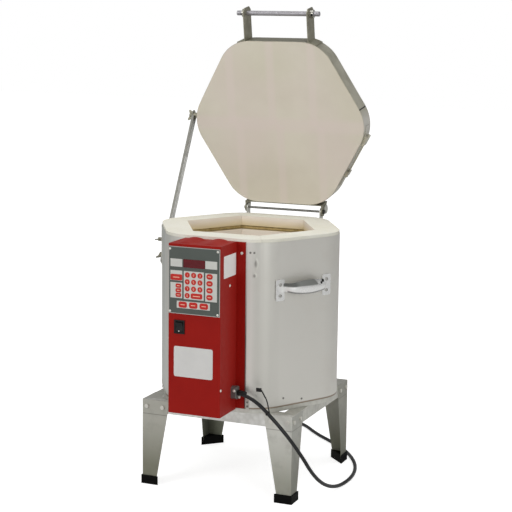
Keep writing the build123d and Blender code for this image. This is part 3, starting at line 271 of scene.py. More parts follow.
# Materials. Light and dark areas lie at fixed places of the kiln, where the photograph shows them.
def jacket_steel():
    """Brushed sheet with painted reflection streaks and a painted sheen on its front flat, painted
    shade on its right corner and left side, a painted shadow beside the box and at its foot, and
    two dents with painted dark reflections.
    """
    material = surface("jacket_steel", srgb(217, 215, 208), roughness=0.4, metallic=0.8)
    roughen(material, noise(material, 60, 3, stretch=(1, 1, 14)), 0.34, 0.5)
    emboss(material, noise(material, 7, 1, stretch=(1, 1, 0.12)), strength=0.5, depth=0.006)
    emboss(material, noise(material, 500, 2, stretch=(1, 1, 30)), strength=0.08, depth=0.0002)
    mottle(material, 9, 4, (0.52, 0.8), srgb(212, 208, 200))

    across = axis_value(material, rightward)
    depth = axis_value(material, rearward)
    height = axis_value(material, upward)
    front_flat = spread(material, depth, axis_y - 190 * MM, axis_y - 200 * MM)
    # Painted reflection streaks and a painted sheen, only on the front flat
    reflection_streaks = noise(material, 52, 3, stretch=(1, 1, 0.03))
    reflection_streaks = spread(material, reflection_streaks, 0.45, 0.7, to_high=0.5)
    paint(material, times(material, reflection_streaks, front_flat), srgb(190, 187, 180))
    painted_sheen = line_at(material, across, axis_x + 88 * MM, 20 * MM, strength=0.7)
    paint(material, times(material, painted_sheen, front_flat), srgb(232, 230, 224))

    # Painted shade on the jacket's rounded right corner
    corner_shade = line_at(material, across, axis_x + 124 * MM, 30 * MM, strength=0.7)
    near_front = spread(material, depth, axis_y - 140 * MM, axis_y - 160 * MM)
    paint(material, times(material, corner_shade, near_front), srgb(192, 191, 184))
    # Painted shadow on the jacket along the box flange's edge, stronger lower down
    beside_box = line_at(material, across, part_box("box_shell")[1].x - 0.5 * MM, 4 * MM)
    shade_low_down = spread(material, height, 600 * MM, 400 * MM, to_high=0.85)
    box_shadow = times(material, beside_box, shade_low_down, front_flat)
    paint(material, box_shadow, srgb(40, 24, 18))
    # Painted shade on the jacket's left side
    left_side_shade = spread(material, across, axis_x - 100 * MM, axis_x - 180 * MM)
    paint(material, left_side_shade, srgb(182, 184, 177))

    # Each dent is an embossed bump with a painted dark reflection in it
    for spot, squeeze in (((105.8, -209.9, 583.5), 0.4), ((102.8, -211.0, 554.6), 0.8)):
        dent = near_point(material, at(*spot), 6 * MM, squeeze=(1, 1, squeeze))
        emboss(material, dent, strength=0.8, depth=0.0015)
        paint(material, spread(material, dent, 0.3, 0.7, to_high=0.55), srgb(96, 94, 88))
    # Painted contact shadow along the jacket's foot
    foot_shadow = line_at(material, height, jacket_low.z + 1.5 * MM, 3 * MM, strength=0.8)
    paint(material, foot_shadow, srgb(128, 108, 84))
    return material


def band_steel():
    """The lid's band, with painted shade low down and where it faces up, a painted highlight, and a
    seam.
    """
    material = surface("band_steel", srgb(206, 203, 186), roughness=0.4, metallic=0.8)
    roughen(material, noise(material, 90, 4), 0.3, 0.55)
    mottle(material, 30, 5, (0.45, 0.75), srgb(176, 172, 154))
    # Painted shade on the band's lower part
    shade_low_down = spread(material, axis_value(material, upward), 860 * MM, 780 * MM, to_high=0.9)
    paint(material, shade_low_down, srgb(190, 186, 172))
    # Painted shade where the band faces up
    upper_face_shade = spread(material, facing(material, upward), 0.8, 0.95, to_high=0.7)
    paint(material, upper_face_shade, srgb(118, 114, 96))
    emboss(material, noise(material, 45, 2), strength=0.25, depth=0.0015)
    # Painted highlight on the band between its seam and clamp
    painted_highlight = near_point(material, at(238, 200, 892), 40 * MM, squeeze=(1, 0.5, 1))
    paint(material, spread(material, painted_highlight, 0.0, 0.6), srgb(214, 211, 202))

    seam = at(223.7, 196.1, 931.2)
    along_band = Vector((-0.46, -0.15, 0.87))
    on_seam = line_at(material, beyond(material, along_band, seam), 0.0, 2.2 * MM)
    close = spread(material, near_point(material, seam, 60 * MM), 0.0, 0.1)
    paint(material, times(material, on_seam, close), srgb(26, 24, 20))
    return material


def galvanised(name, color):
    """Zinc with its spangle."""
    material = surface(name, color, roughness=0.4, metallic=0.75)
    spangle = spread(material, cells(material, 85), 0.1, 0.8, to_high=0.4)
    paint(material, spangle, srgb(176, 175, 166))
    mottle(material, 14, 5, (0.5, 0.8), srgb(160, 159, 148), most=0.5)
    roughen(material, noise(material, 40, 4), 0.34, 0.56)
    emboss(material, noise(material, 120, 3), strength=0.12, depth=0.0004)
    return material


def leg_steel(name, high, low):
    """Galvanised legs, darker toward the floor, with painted shade on their right faces and a
    painted shade line below the rails.
    """
    material = surface(name, high, roughness=0.5, metallic=0.5)
    height = axis_value(material, upward)
    paint(material, spread(material, height, 170 * MM, 50 * MM), low)
    mottle(material, 30, 4, (0.5, 0.8), srgb(120, 119, 108), most=0.4)
    # Painted shade line on the legs just below the rails
    shade_below_rails = line_at(material, height, 181.5 * MM, 1.4 * MM, strength=0.45)
    paint(material, shade_below_rails, srgb(70, 68, 60))
    # Painted shade on the legs' right faces
    right_face_shading = spread(material, facing(material, rightward), 0.6, 0.9, to_high=0.4)
    paint(material, right_face_shading, srgb(124, 124, 114))
    roughen(material, noise(material, 50, 3), 0.42, 0.6)
    return material


def dull_steel():
    """Aged zinc of the grip's brackets, the hinge, the wing nuts and their bolts."""
    material = surface("dull_steel", srgb(150, 147, 130), roughness=0.5, metallic=0.7)
    mottle(material, 40, 5, (0.4, 0.75), srgb(122, 119, 102))
    roughen(material, noise(material, 110, 3), 0.42, 0.6)
    return material


def channel_steel():
    """The stay's folded strip, with painted shade on its front flange."""
    material = surface("channel_steel", srgb(206, 206, 203), roughness=0.5, metallic=0.4)
    lid_end = sum(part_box("stay_lid_bolt"), Vector()) / 2
    stud_end = sum(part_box("stay_stud_nut"), Vector()) / 2
    rise = lid_end - stud_end
    to_front = Vector((0, -rise.z, rise.y)).normalized()
    # Painted shade on the stay's front flange
    front_flange_shade = spread(material, beyond(material, to_front, lid_end), 0.0, 2 * MM)
    paint(material, front_flange_shade, srgb(140, 139, 132))
    mottle(material, 60, 4, (0.5, 0.8), srgb(176, 175, 170), most=0.5)
    return material


def rod_steel(name, color):
    material = surface(name, color, roughness=0.42, metallic=0.6)
    roughen(material, noise(material, 120, 3), 0.36, 0.5)
    mottle(material, 90, 3, (0.5, 0.8), srgb(96, 94, 88), most=0.4)
    return material


def screw_white():
    material = surface("screw_white", srgb(232, 230, 222), roughness=0.35, metallic=0.25)
    roughen(material, noise(material, 400, 2), 0.28, 0.5)
    return material


def screw_steel(name, color):
    material = surface(name, color, roughness=0.45, metallic=0.5)
    roughen(material, noise(material, 400, 2), 0.38, 0.55)
    return material


def plated():
    material = surface("plated", srgb(176, 174, 166), roughness=0.34, metallic=0.85)
    roughen(material, noise(material, 160, 3), 0.2, 0.4)
    mottle(material, 220, 3, (0.55, 0.8), srgb(160, 156, 145))
    return material


handle_angles = (-30, 150)


def handle_axes(angle):
    """A side handle's two level directions: away from the kiln, and along its grip."""
    outward = Vector((math.cos(math.radians(angle)), math.sin(math.radians(angle)), 0))
    return outward, Vector((-outward.y, outward.x, 0))


def handle_point(angle, out_by, along_by, height):
    """A point by a side handle, in millimetres from the kiln's axis and the floor."""
    outward, along = handle_axes(angle)
    spot = outward * out_by + along * along_by
    return at(spot.x, spot.y, height)


def chrome():
    """Polished handles. Their mirrored darks are painted on: the hollow of the grip, the fold at
    its far end, and the lower edge, which rises from the middle as a parabola."""
    material = surface("handle_chrome", srgb(236, 236, 234), roughness=0.16, metallic=0.95)
    emboss(material, noise(material, 60, 1), strength=0.06, depth=0.0008)
    rough = spread(material, noise(material, 90, 3), 0.0, 1.0, 0.2, 0.32)
    upper_face_shade = spread(material, facing(material, upward), 0.04, 0.14)
    folds = ((240, 28, 525), (240, 34, 529), (239, 40, 533))
    edge_height = 506 * MM
    edge_rise_per_square = 2.044
    bow_start = 227 * MM
    for angle in handle_angles:
        outward, along = handle_axes(angle)
        hollow = near_point(material, handle_point(angle, 236, -28, 495), 65 * MM)
        shadow = times(material, spread(material, hollow, 0.0, 0.08), upper_face_shade)
        paint(material, shadow, srgb(142, 144, 140))
        elbow = near_point(material, handle_point(angle, 228, -54, 523), 30 * MM)
        rough = combine(material, "ADD", rough, times(material, shadow, 0.4))
        rough = combine(material, "ADD", rough, spread(material, elbow, 0.0, 0.4, to_high=0.4))
        for spot in folds:
            fold = near_point(material, handle_point(angle, *spot), 5.5 * MM)
            paint(material, spread(material, fold, 0.0, 0.2), srgb(24, 24, 24))

        from_middle = beyond(material, along, kiln_axis)
        edge_rise = times(material, from_middle, from_middle, edge_rise_per_square)
        above_edge = combine(material, "SUBTRACT", axis_value(material, upward), edge_height)
        above_edge = combine(material, "SUBTRACT", above_edge, edge_rise)
        low_edge = spread(material, above_edge, 4 * MM, 2.4 * MM, to_high=0.8)
        bow_at = outward.dot(kiln_axis) + bow_start
        on_bow = spread(material, axis_value(material, outward), bow_at, bow_at + 3 * MM)
        paint(material, times(material, low_edge, on_bow), srgb(112, 112, 108))
    material.node_tree.links.new(rough, shader_of(material).inputs["Roughness"])
    return material


def red_paint():
    material = surface("box_red", srgb(152, 21, 13), roughness=0.5, specular=0.14)
    mottle(material, 18, 5, (0.45, 0.8), srgb(143, 18, 11))
    # Painted highlight, lighter and paler, on the box's right side
    right_face_shading = spread(material, facing(material, rightward), 0.6, 0.9)
    paint(material, right_face_shading, srgb(160, 34, 27))
    roughen(material, noise(material, 70, 3), 0.42, 0.55)
    emboss(material, noise(material, 900, 2), strength=0.1, depth=0.00025)
    emboss(material, noise(material, 12, 1), strength=0.15, depth=0.002)
    return material


def alloy():
    material = surface("faceplate_alloy", srgb(190, 190, 186), roughness=0.35, metallic=0.9)
    roughen(material, noise(material, 300, 2, stretch=(1, 1, 0.05)), 0.25, 0.45)
    return material


def printed(name, color, roughness, grain=0.06):
    """Ink on a fine grain, a little uneven."""
    material = surface(name, color, roughness=roughness, specular=0.3)
    emboss(material, noise(material, 1500, 2), strength=grain, depth=0.0001)
    shade = tuple(channel * 0.93 for channel in color[:3]) + (1.0,)
    mottle(material, 25, 4, (0.4, 0.8), shade)
    return material


def display_glass():
    material = surface("display_red", srgb(98, 12, 22), roughness=0.2, specular=0.35)
    mottle(material, 60, 2, (0.4, 0.7), srgb(88, 9, 18))
    emboss(material, noise(material, 1200, 2), strength=0.04, depth=0.0001)
    return material


def black_plastic():
    material = surface("black_plastic", srgb(12, 12, 12), roughness=0.4, specular=0.3)
    emboss(material, noise(material, 1200, 2), strength=0.12, depth=0.0002)
    roughen(material, noise(material, 80, 3), 0.38, 0.55)
    return material


def plug_plastic(blade_root, blade_way):
    """Black plastic, and bright metal beyond the roots of the blades."""
    material = surface("plug_black", srgb(14, 14, 14), roughness=0.45)
    emboss(material, noise(material, 900, 2), strength=0.12, depth=0.0002)
    blade = spread(material, beyond(material, blade_way, blade_root), 0.0, 0.2 * MM)
    paint(material, blade, srgb(206, 200, 178))
    material.node_tree.links.new(blade, shader_of(material).inputs["Metallic"])
    return material


def rubber():
    material = surface("foot_rubber", srgb(9, 9, 8), roughness=0.6, specular=0.08)
    emboss(material, noise(material, 700, 3), strength=0.2, depth=0.0003)
    mottle(material, 60, 5, (0.6, 0.85), srgb(18, 17, 16))
    return material


def cord_rubber():
    material = surface("cord_black", srgb(22, 23, 24), roughness=0.38, specular=0.4)
    emboss(material, noise(material, 900, 2), strength=0.1, depth=0.0002)
    mottle(material, 35, 4, (0.55, 0.8), srgb(40, 41, 42))
    return material


def firebrick(name, color, worn):
    """Porous insulating brick with darker specks."""
    material = surface(name, color, roughness=0.92)
    emboss(material, spread(material, cells(material, 420), 0.05, 0.5), strength=0.35, depth=0.0007)
    emboss(material, noise(material, 150, 6), strength=0.3, depth=0.0012)
    mottle(material, 13, 6, (0.42, 0.78), worn)
    specks = spread(material, noise(material, 330, 3), 0.62, 0.72)
    paint(material, times(material, specks, 0.35), srgb(178, 166, 140))
    return material


def wall_firebrick():
    """Firebrick with the yellow tint that firing leaves about the topmost element."""
    material = firebrick("wall_brick", srgb(234, 232, 220), srgb(228, 225, 209))
    wire_top = max(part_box(name)[1].z for name in ("element_1", "element_2", "element_3"))
    height = axis_value(material, upward)
    near_axis = near_point(material, kiln_axis, 300 * MM, squeeze=(1, 1, 0))
    inside = spread(material, near_axis, 0.3, 0.35)
    upright = spread(material, facing(material, upward), 0.5, 0.3)
    paint(material, times(material, upright, inside, 0.7), srgb(247, 234, 220))
    tint = spread(material, height, wire_top + 22 * MM, wire_top + 1 * MM, to_high=0.8)
    above_groove = spread(material, height, wire_top - 9 * MM, wire_top - 8 * MM)
    paint(material, times(material, tint, above_groove, inside), srgb(214, 192, 130))
    return material


def lid_firebrick():
    """Coated slab of two courses of narrow bricks, whose joints show faintly."""
    material = surface("lid_brick", srgb(219, 212, 196), roughness=0.9)
    mottle(material, 7, 5, (0.4, 0.75), srgb(210, 202, 185))
    mottle(material, 4.1, 1, (0.5, 0.7), srgb(217, 204, 194), most=0.6)
    mottle(material, 3.3, 1, (0.55, 0.72), srgb(211, 206, 184), most=0.6)
    across = axis_value(material, rightward)
    height = axis_value(material, upward)
    course = 881 * MM
    joint_strength = 0.5
    joint_half_width = 15 * MM
    course_half_width = 24 * MM
    upper = spread(material, height, course - MM, course + MM)
    lower = spread(material, height, course + MM, course - MM)
    for rows, joints in ((upper, (-130, -16, 98)), (lower, (-110, 4, 118))):
        for joint in joints:
            joint_at = axis_x + joint * MM
            line = line_at(material, across, joint_at, joint_half_width, joint_strength)
            paint(material, times(material, line, rows), srgb(222, 209, 200))
    level_joint = line_at(material, height, course, course_half_width, joint_strength)
    paint(material, level_joint, srgb(222, 208, 200))
    emboss(material, noise(material, 260, 5), strength=0.2, depth=0.0006)
    emboss(material, cells(material, 380), strength=0.15, depth=0.0004)
    return material


def element_wire():
    """Oxidised resistance wire, its turns shown as ridges along a line askew to all the walls."""
    material = surface("element_wire", srgb(222, 200, 142), roughness=0.6, metallic=0.1)
    mottle(material, 120, 4, (0.4, 0.7), srgb(196, 170, 112))
    askew = (1, 0.6, 0)
    radians_per_metre = 2100.0
    phase = times(material, axis_value(material, askew), radians_per_metre)
    emboss(material, combine(material, "SINE", phase, 0.0), strength=0.6, depth=0.0012)
    return material


def board():
    material = surface("board_green", srgb(24, 92, 52), roughness=0.4)
    mottle(material, 260, 2, (0.55, 0.6), srgb(40, 120, 70))
    return material


studio_grey = grey(0.62)
floor_in_metal = 0.26
floor_shade_near_kiln = 0.78
floor_reach = 1.1


def floor_white():
    """White to the camera, and a plain pale grey to the light that bounces off it. Near the kiln
    its glow is dimmed, a painted shade around it.
    """
    material = surface("floor_white", studio_grey, roughness=0.9, specular=0.0)
    shader_of(material).inputs["Emission Color"].default_value = grey(1.0)
    tree = material.node_tree
    rays = tree.nodes.new("ShaderNodeLightPath")
    # The glow dims toward the kiln, a painted shade around it
    near = near_point(material, (0, 0, 0), floor_reach)
    base = spread(material, near, 0.0, 0.5, to_low=1.0, to_high=floor_shade_near_kiln)
    mirrored = times(material, rays.outputs["Is Glossy Ray"], floor_in_metal)
    seen = combine(material, "ADD", rays.outputs["Is Camera Ray"], mirrored)
    tree.links.new(times(material, seen, base), shader_of(material).inputs["Emission Strength"])
    return material


jacket_finish = jacket_steel()
band_finish = band_steel()
stand_finish = galvanised("galvanised", srgb(212, 211, 203))
front_rail_finish = galvanised("front_rail", srgb(236, 236, 232))
plated_finish = plated()
# Lit and shaded copies of one leg steel: each leg gets the painted light or shade that falls on it
legs_finish = leg_steel("leg_steel", srgb(182, 181, 171), srgb(132, 132, 116))
lit_leg_finish = leg_steel("lit_leg_steel", srgb(212, 212, 204), srgb(162, 162, 150))
shaded_leg_finish = leg_steel("shaded_leg_steel", srgb(150, 152, 134), srgb(120, 122, 106))
dull_finish = dull_steel()
channel_finish = channel_steel()
hinge_rod_finish = rod_steel("hinge_rod_steel", srgb(128, 127, 122))
bar_finish = rod_steel("grip_bar_steel", srgb(158, 156, 160))
dark_cap_finish = rod_steel("dark_cap_steel", srgb(62, 61, 56))
clamp_finish = rod_steel("clamp_metal", srgb(112, 112, 110))
white_screw_finish = screw_white()
dark_screw_finish = screw_steel("screw_dark", srgb(134, 133, 128))
handle_screw_finish = screw_steel("screw_grey", srgb(176, 175, 170))
bolt_finish = screw_steel("bolt_zinc", srgb(216, 214, 206))
chrome_finish = chrome()
red_finish = red_paint()
alloy_finish = alloy()
overlay_finish = printed("overlay_grey", srgb(84, 90, 85), 0.42)
display_finish = display_glass()
panel_finish = printed("panel_light", srgb(206, 206, 200), 0.45)
key_finish = printed("key_red", srgb(196, 46, 40), 0.42)
legend_finish = printed("legend_light", srgb(240, 196, 170), 0.5)
paper_finish = printed("label_white", srgb(216, 215, 212), 0.55, 0.12)
side_paper_finish = printed("side_label_white", srgb(244, 243, 240), 0.55, 0.12)
plastic_finish = black_plastic()
rubber_finish = rubber()
cord_finish = cord_rubber()
wall_finish = wall_firebrick()
floor_finish = firebrick("floor_brick", srgb(224, 214, 190), srgb(208, 194, 164))
lid_finish = lid_firebrick()
wire_finish = element_wire()
probe_finish = firebrick("probe_ceramic", srgb(236, 230, 214), srgb(226, 218, 198))
board_finish = board()

# The finish of each node that shows as it was built. The plug's waits for the cord's end.
dressing = {
    jacket_finish: ("jacket", "jacket_lap"),
    band_finish: ("lid_band", "band_clamp"),
    stand_finish: (
        "rail_back",
        "rail_left",
        "rail_right",
        "base_pan",
        "pan_clips",
        "hinge_base",
        "stay_bracket",
        "transformer",
    ),
    legs_finish: ("leg_front_left", "leg_back_right"),
    lit_leg_finish: ("leg_front_right",),
    front_rail_finish: ("rail_front",),
    shaded_leg_finish: ("leg_back_left",),
    dull_finish: (
        "grip_bracket_left",
        "grip_bracket_right",
        "lid_hinge",
        "stay_lid_bolt",
        "stay_lid_nut",
        "stay_stud_nut",
        "bracket_wing_screw",
    ),
    clamp_finish: ("cord_clamp",),
    channel_finish: ("stay_arm",),
    hinge_rod_finish: ("hinge_rod",),
    bar_finish: ("grip_bar",),
    plated_finish: ("grip_collars",),
    bolt_finish: ("stand_bolts",),
    chrome_finish: ("handle_left", "handle_right"),
    red_finish: ("box_shell", "box_top", "box_bottom"),
    alloy_finish: ("faceplate",),
    overlay_finish: ("overlay",),
    display_finish: ("display_window",),
    panel_finish: ("key_panels",),
    key_finish: ("function_keys", "number_keys"),
    plastic_finish: ("rocker", "switch_body", "cord_tie", "relay"),
    rubber_finish: ("feet",),
    cord_finish: ("cord", "cord_coil"),
    wall_finish: ("wall_course_1", "wall_course_2", "wall_course_3"),
    floor_finish: ("floor_brick",),
    lid_finish: ("lid_brick",),
    wire_finish: ("element_1", "element_2", "element_3"),
    probe_finish: ("thermocouple", "terminal_block"),
    board_finish: ("control_board",),
}


def dress(name, finish):
    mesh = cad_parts[name].data
    mesh.materials.clear()
    mesh.materials.append(finish)


for finish, names in dressing.items():
    for name in names:
        dress(name, finish)


# Mesh helpers
def piece(name, mesh_maker, finish, body, smooth=False):
    """A new object of one mesh, riding on a body."""
    mesh = bpy.data.meshes.new(name)
    work = bmesh.new()
    mesh_maker(work)
    bmesh.ops.recalc_face_normals(work, faces=work.faces)
    work.to_mesh(mesh)
    work.free()
    mesh.materials.append(finish)
    for face in mesh.polygons:
        face.use_smooth = smooth
    made = bpy.data.objects.new(name, mesh)
    bpy.context.collection.objects.link(made)
    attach(made, body)
    return made


def side_axes(normal):
    """Two directions square to a normal, the second as upright as it can be."""
    upright = rearward if abs(normal.dot(upward)) > 0.95 else upward
    across = upright.cross(normal).normalized()
    return across, normal.cross(across)


def join_rings(work, rings):
    """Walls from ring to ring of points, closed at both ends."""
    count = len(rings[0])
    for lower, upper in zip(rings, rings[1:]):
        for step in range(count):
            after = (step + 1) % count
            work.faces.new((lower[step], lower[after], upper[after], upper[step]))
    work.faces.new(rings[0])
    work.faces.new(rings[-1])


def add_lathe(work, origin, normal, profile, segments):
    """A turned form: rings of (height, radius) up the normal."""
    across, upright = side_axes(normal)
    rings = []
    for height, radius in profile:
        ring = []
        for step in range(segments):
            angle = 2 * math.pi * step / segments
            spoke = across * math.cos(angle) + upright * math.sin(angle)
            ring.append(work.verts.new(origin + normal * height + spoke * radius))
        rings.append(ring)
    join_rings(work, rings)


def profile_in_mm(*rings):
    return [(height * MM, radius * MM) for height, radius in rings]


block_faces = ((0, 1, 3, 2), (4, 6, 7, 5), (0, 4, 5, 1), (2, 3, 7, 6), (0, 2, 6, 4), (1, 5, 7, 3))


def add_block(work, origin, sizes):
    """A level box from its middle and its sizes across, deep and high."""
    corners = []
    for sz in (-0.5, 0.5):
        for sy in (-0.5, 0.5):
            for sx in (-0.5, 0.5):
                offset = Vector((sx * sizes[0], sy * sizes[1], sz * sizes[2]))
                corners.append(work.verts.new(origin + offset))
    for quad in block_faces:
        work.faces.new([corners[i] for i in quad])


corner_steps = 5
card_edge_share = 0.7
card_face_share = 0.992


def add_card(work, origin, normal, width, height, corner, thickness):
    """A thin plate with round corners, standing on a surface and a little smaller at its face."""
    across, upright = side_axes(normal)
    outline = []
    for quarter in range(4):
        start = quarter * math.pi / 2
        sx = 1 if quarter in (0, 3) else -1
        sy = 1 if quarter in (0, 1) else -1
        middle = across * sx * (width / 2 - corner) + upright * sy * (height / 2 - corner)
        for step in range(corner_steps + 1):
            angle = start + step / corner_steps * math.pi / 2
            spoke = across * math.cos(angle) + upright * math.sin(angle)
            outline.append(middle + spoke * corner)
    rings = []
    for rise, share in ((0.0, 1.0), (card_edge_share, 1.0), (1.0, card_face_share)):
        lift = normal * (thickness * rise)
        rings.append([work.verts.new(origin + spot * share + lift) for spot in outline])
    join_rings(work, rings)


def add_screw(work, spot, normal, radius):
    """A pan head, lower at its rim, with a round recess in its middle."""
    height = radius * 0.55
    profile = [
        (0.0, radius),
        (height * 0.45, radius),
        (height * 0.8, radius * 0.84),
        (height, radius * 0.5),
        (height, radius * 0.46),
        (height * 0.35, radius * 0.3),
    ]
    add_lathe(work, spot, normal, profile, segments=16)


def screws(name, spots, radius, finish):
    """Heads of screws on the kiln, each as (spot, normal)."""

    def make(work):
        for spot, normal in spots:
            add_screw(work, spot, normal, radius)

    piece(name, make, finish, "kiln")


def cards(name, places, finish):
    """Thin plates on the kiln, each as (middle, normal, width, height, corner, thickness)."""

    def make(work):
        for place in places:
            add_card(work, *place)

    piece(name, make, finish, "kiln")


# Cord: one smooth curve from the clamp to the plug, on the same route as its solid. Its points are
# in metres from the kiln's axis, and the length put away lies in a coil behind the body.
cord_diameter = 0.0092
floor_lift = 0.0049
route = [
    (0.051, -0.236, 0.273),
    (0.101, -0.236, 0.273),
    (0.170, -0.232, 0.212),
    (0.221, -0.213, 0.143),
    (0.247, -0.150, 0.050),
    (0.261, -0.055, floor_lift),
    (0.272, 0.045, floor_lift),
    (0.247, 0.150, floor_lift),
    (0.188, 0.250, floor_lift),
    (0.110, 0.326, floor_lift),
    (0.050, 0.376, floor_lift),
    (-0.024, 0.462, floor_lift),
]
entry = Vector((-0.99, 0.141, 0)).normalized()
coil_start = Vector((-0.255, 0.508, floor_lift))
coil_lead = 0.120
coil_radius = 0.050
coil_turns = 1.5
coil_rise = 0.014
coil_tail = 0.032
points_per_turn = 12
ahead = Vector((entry.y, -entry.x, 0))
coil_middle = coil_start + ahead * coil_radius
entry_angle = math.atan2(-ahead.y, -ahead.x)
cord_points = [kiln_axis + Vector(point) for point in route]
cord_points.append(kiln_axis + coil_start - entry * coil_lead)
cord_points.append(kiln_axis + coil_start - entry * coil_lead / 3)
coil_steps = int(points_per_turn * coil_turns)
# The curve cuts inside its control points, so they stand a little outside the coil's circle
control_radius = coil_radius / math.cos(math.pi / points_per_turn) ** 0.5
for step in range(coil_steps):
    share = (step + 0.5) / coil_steps
    angle = entry_angle - share * coil_turns * 2 * math.pi
    rise = coil_rise * (3 * share**2 - 2 * share**3)
    spoke = Vector((math.cos(angle), math.sin(angle), 0)) * control_radius
    cord_points.append(kiln_axis + coil_middle + spoke + Vector((0, 0, rise)))
exit_angle = entry_angle - coil_turns * 2 * math.pi
coil_end = coil_middle + Vector((math.cos(exit_angle), math.sin(exit_angle), 0)) * coil_radius
coil_end.z += coil_rise
tail_way = Vector((math.sin(exit_angle), -math.cos(exit_angle), 0))
cord_points.append(kiln_axis + coil_end + tail_way * coil_tail / 2)
cord_points.append(kiln_axis + coil_end + tail_way * coil_tail)

cord_curve = bpy.data.curves.new("mains_cord", "CURVE")
cord_curve.dimensions = "3D"
cord_line = cord_curve.splines.new("NURBS")
cord_line.points.add(len(cord_points) - 1)
for control, point in zip(cord_line.points, cord_points):
    control.co = (*point, 1.0)
cord_line.order_u = 3
cord_line.use_endpoint_u = True
cord_line.resolution_u = 14
cord_curve.bevel_depth = cord_diameter / 2
cord_curve.bevel_resolution = 5
cord_curve.use_fill_caps = True
cord_curve.materials.append(cord_finish)
mains_cord = bpy.data.objects.new("mains_cord", cord_curve)
bpy.context.collection.objects.link(mains_cord)
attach(mains_cord, "kiln")
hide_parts("cord", "cord_coil")

plug_body_length = 0.0522
dress("plug", plug_plastic(cord_points[-1] + tail_way * plug_body_length, tail_way))

# Tapered sleeve where the cord leaves its clamp, from its heights and radii in millimetres
clamp_low, clamp_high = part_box("cord_clamp")
clamp_middle = (clamp_low + clamp_high) / 2
sleeve_start = Vector((clamp_high.x - 10 * MM, clamp_middle.y, clamp_middle.z))
sleeve_profile = profile_in_mm(
    (0, 4.75),
    (10, 4.8),
    (11, 6.6),
    (14, 6.8),
    (20, 6.0),
    (26, 5.3),
    (31, 4.8),
    (32, 4.65),
)
sleeve = piece(
    "cord_sleeve",
    lambda work: add_lathe(work, sleeve_start, rightward, sleeve_profile, segments=24),
    plastic_finish,
    "kiln",
    smooth=True,
)


# Screws. Each sits on the surface of the piece that it holds, nearest to the point given.
def seated(node, *points):
    spots = []
    for point in points:
        _, spot, normal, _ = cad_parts[node].closest_point_on_mesh(at(*point))
        spots.append((spot, normal))
    return spots


face_corners = [(x, -340, z) for x in (-70, 53) for z in (474, 623)]
face_screws = seated("overlay", *face_corners)
box_screws = (
    seated("box_shell", (62, -257.4, 535.4), (62, -305.8, 292), (-80, -305.8, 407))
    + seated("box_shell", (72.4, -222, 608), (69.7, -222, 257))
    + seated("cord_clamp", (68.3, -247, 278.8), (73.4, -228.4, 260.1))
)
jacket_screws = (
    seated("jacket_lap", (103.3, -215, 609.8), (94.0, -218, 610))
    + seated("stay_bracket", (-240, -24, 627.9), (-240, -24, 609.8))
    + seated("base_pan", (-210, -80, 221), (-210, -80, 208))
    + seated("pan_clips", (90.5, -230, 246), (90.5, -230, 236))
    + seated("jacket", (165, -160, 249.5), (193, -110, 240))
)
screws("face_screws", face_screws, radius=2.8 * MM, finish=white_screw_finish)
screws("box_screws", box_screws, radius=3.4 * MM, finish=white_screw_finish)
screws("jacket_screws", jacket_screws, radius=2.6 * MM, finish=dark_screw_finish)

# The handles' screws, on the outer faces of their end plates
plate_face = 218.3
handle_screws = []
for angle in handle_angles:
    outward = handle_axes(angle)[0]
    for along_by in (-71.5, 71.5):
        for height in (503.5, 530.5):
            spot = handle_point(angle, plate_face, along_by, height)
            handle_screws.append((spot, outward))
screws("handle_screws", handle_screws, radius=4.4 * MM, finish=handle_screw_finish)

# Inner part of the stand's folded flanges, on which the kiln sits
rail_front_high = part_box("rail_front")[1]
rail_back_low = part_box("rail_back")[0]
rail_left_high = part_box("rail_left")[1]
rail_right_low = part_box("rail_right")[0]
flange_more = 17 * MM
flange_sheet = 1.5 * MM


def make_flanges(work):
    z = rail_front_high.z - flange_sheet / 2
    middle_x = (rail_left_high.x + rail_right_low.x) / 2
    middle_y = (rail_front_high.y + rail_back_low.y) / 2
    wide = rail_right_low.x - rail_left_high.x
    deep = rail_back_low.y - rail_front_high.y - 2 * flange_more
    for y in (rail_front_high.y + flange_more / 2, rail_back_low.y - flange_more / 2):
        add_block(work, Vector((middle_x, y, z)), (wide, flange_more, flange_sheet))
    for x in (rail_left_high.x + flange_more / 2, rail_right_low.x - flange_more / 2):
        add_block(work, Vector((x, middle_y, z)), (flange_more, deep, flange_sheet))


piece("stand_flanges", make_flanges, stand_finish, "kiln")

# Set screws of the grip's collars
set_screw_profile = profile_in_mm((0, 3.0), (0.5, 3.0), (0.7, 2.6))


def make_set_screws(work):
    for spot, normal in seated("grip_collars", (-100, 148.8, 1164.5), (100, 148.8, 1164.5)):
        add_lathe(work, spot, normal, set_screw_profile, segments=14)


piece("set_screws", make_set_screws, plastic_finish, "grip")

# The hinge's round eyes, and dark caps on the rod's ends
hinge_low, hinge_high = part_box("lid_hinge")
rod_middle = sum(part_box("hinge_rod"), Vector()) / 2
hinge_gap = 0.1 * MM
eye_shift = Vector((0, 17.7 * MM, 5.4 * MM))
eye_profile = profile_in_mm((0, 12.5), (1.5, 12.5), (2.0, 11.9))
cap_profile = profile_in_mm((0, 5.6), (3.5, 5.6), (5.0, 4.4))


def hinge_sides(profile, shift):
    """The same turned form at the left and the right end of the hinge."""

    def make(work):
        for sign, edge in ((-1, hinge_low.x), (1, hinge_high.x)):
            middle = rod_middle + shift
            middle.x = edge + sign * hinge_gap
            add_lathe(work, middle, rightward * sign, profile, segments=28)

    return make


piece("hinge_eyes", hinge_sides(eye_profile, eye_shift), stand_finish, "lid")
piece("hinge_caps", hinge_sides(cap_profile, Vector()), dark_cap_finish, "lid")

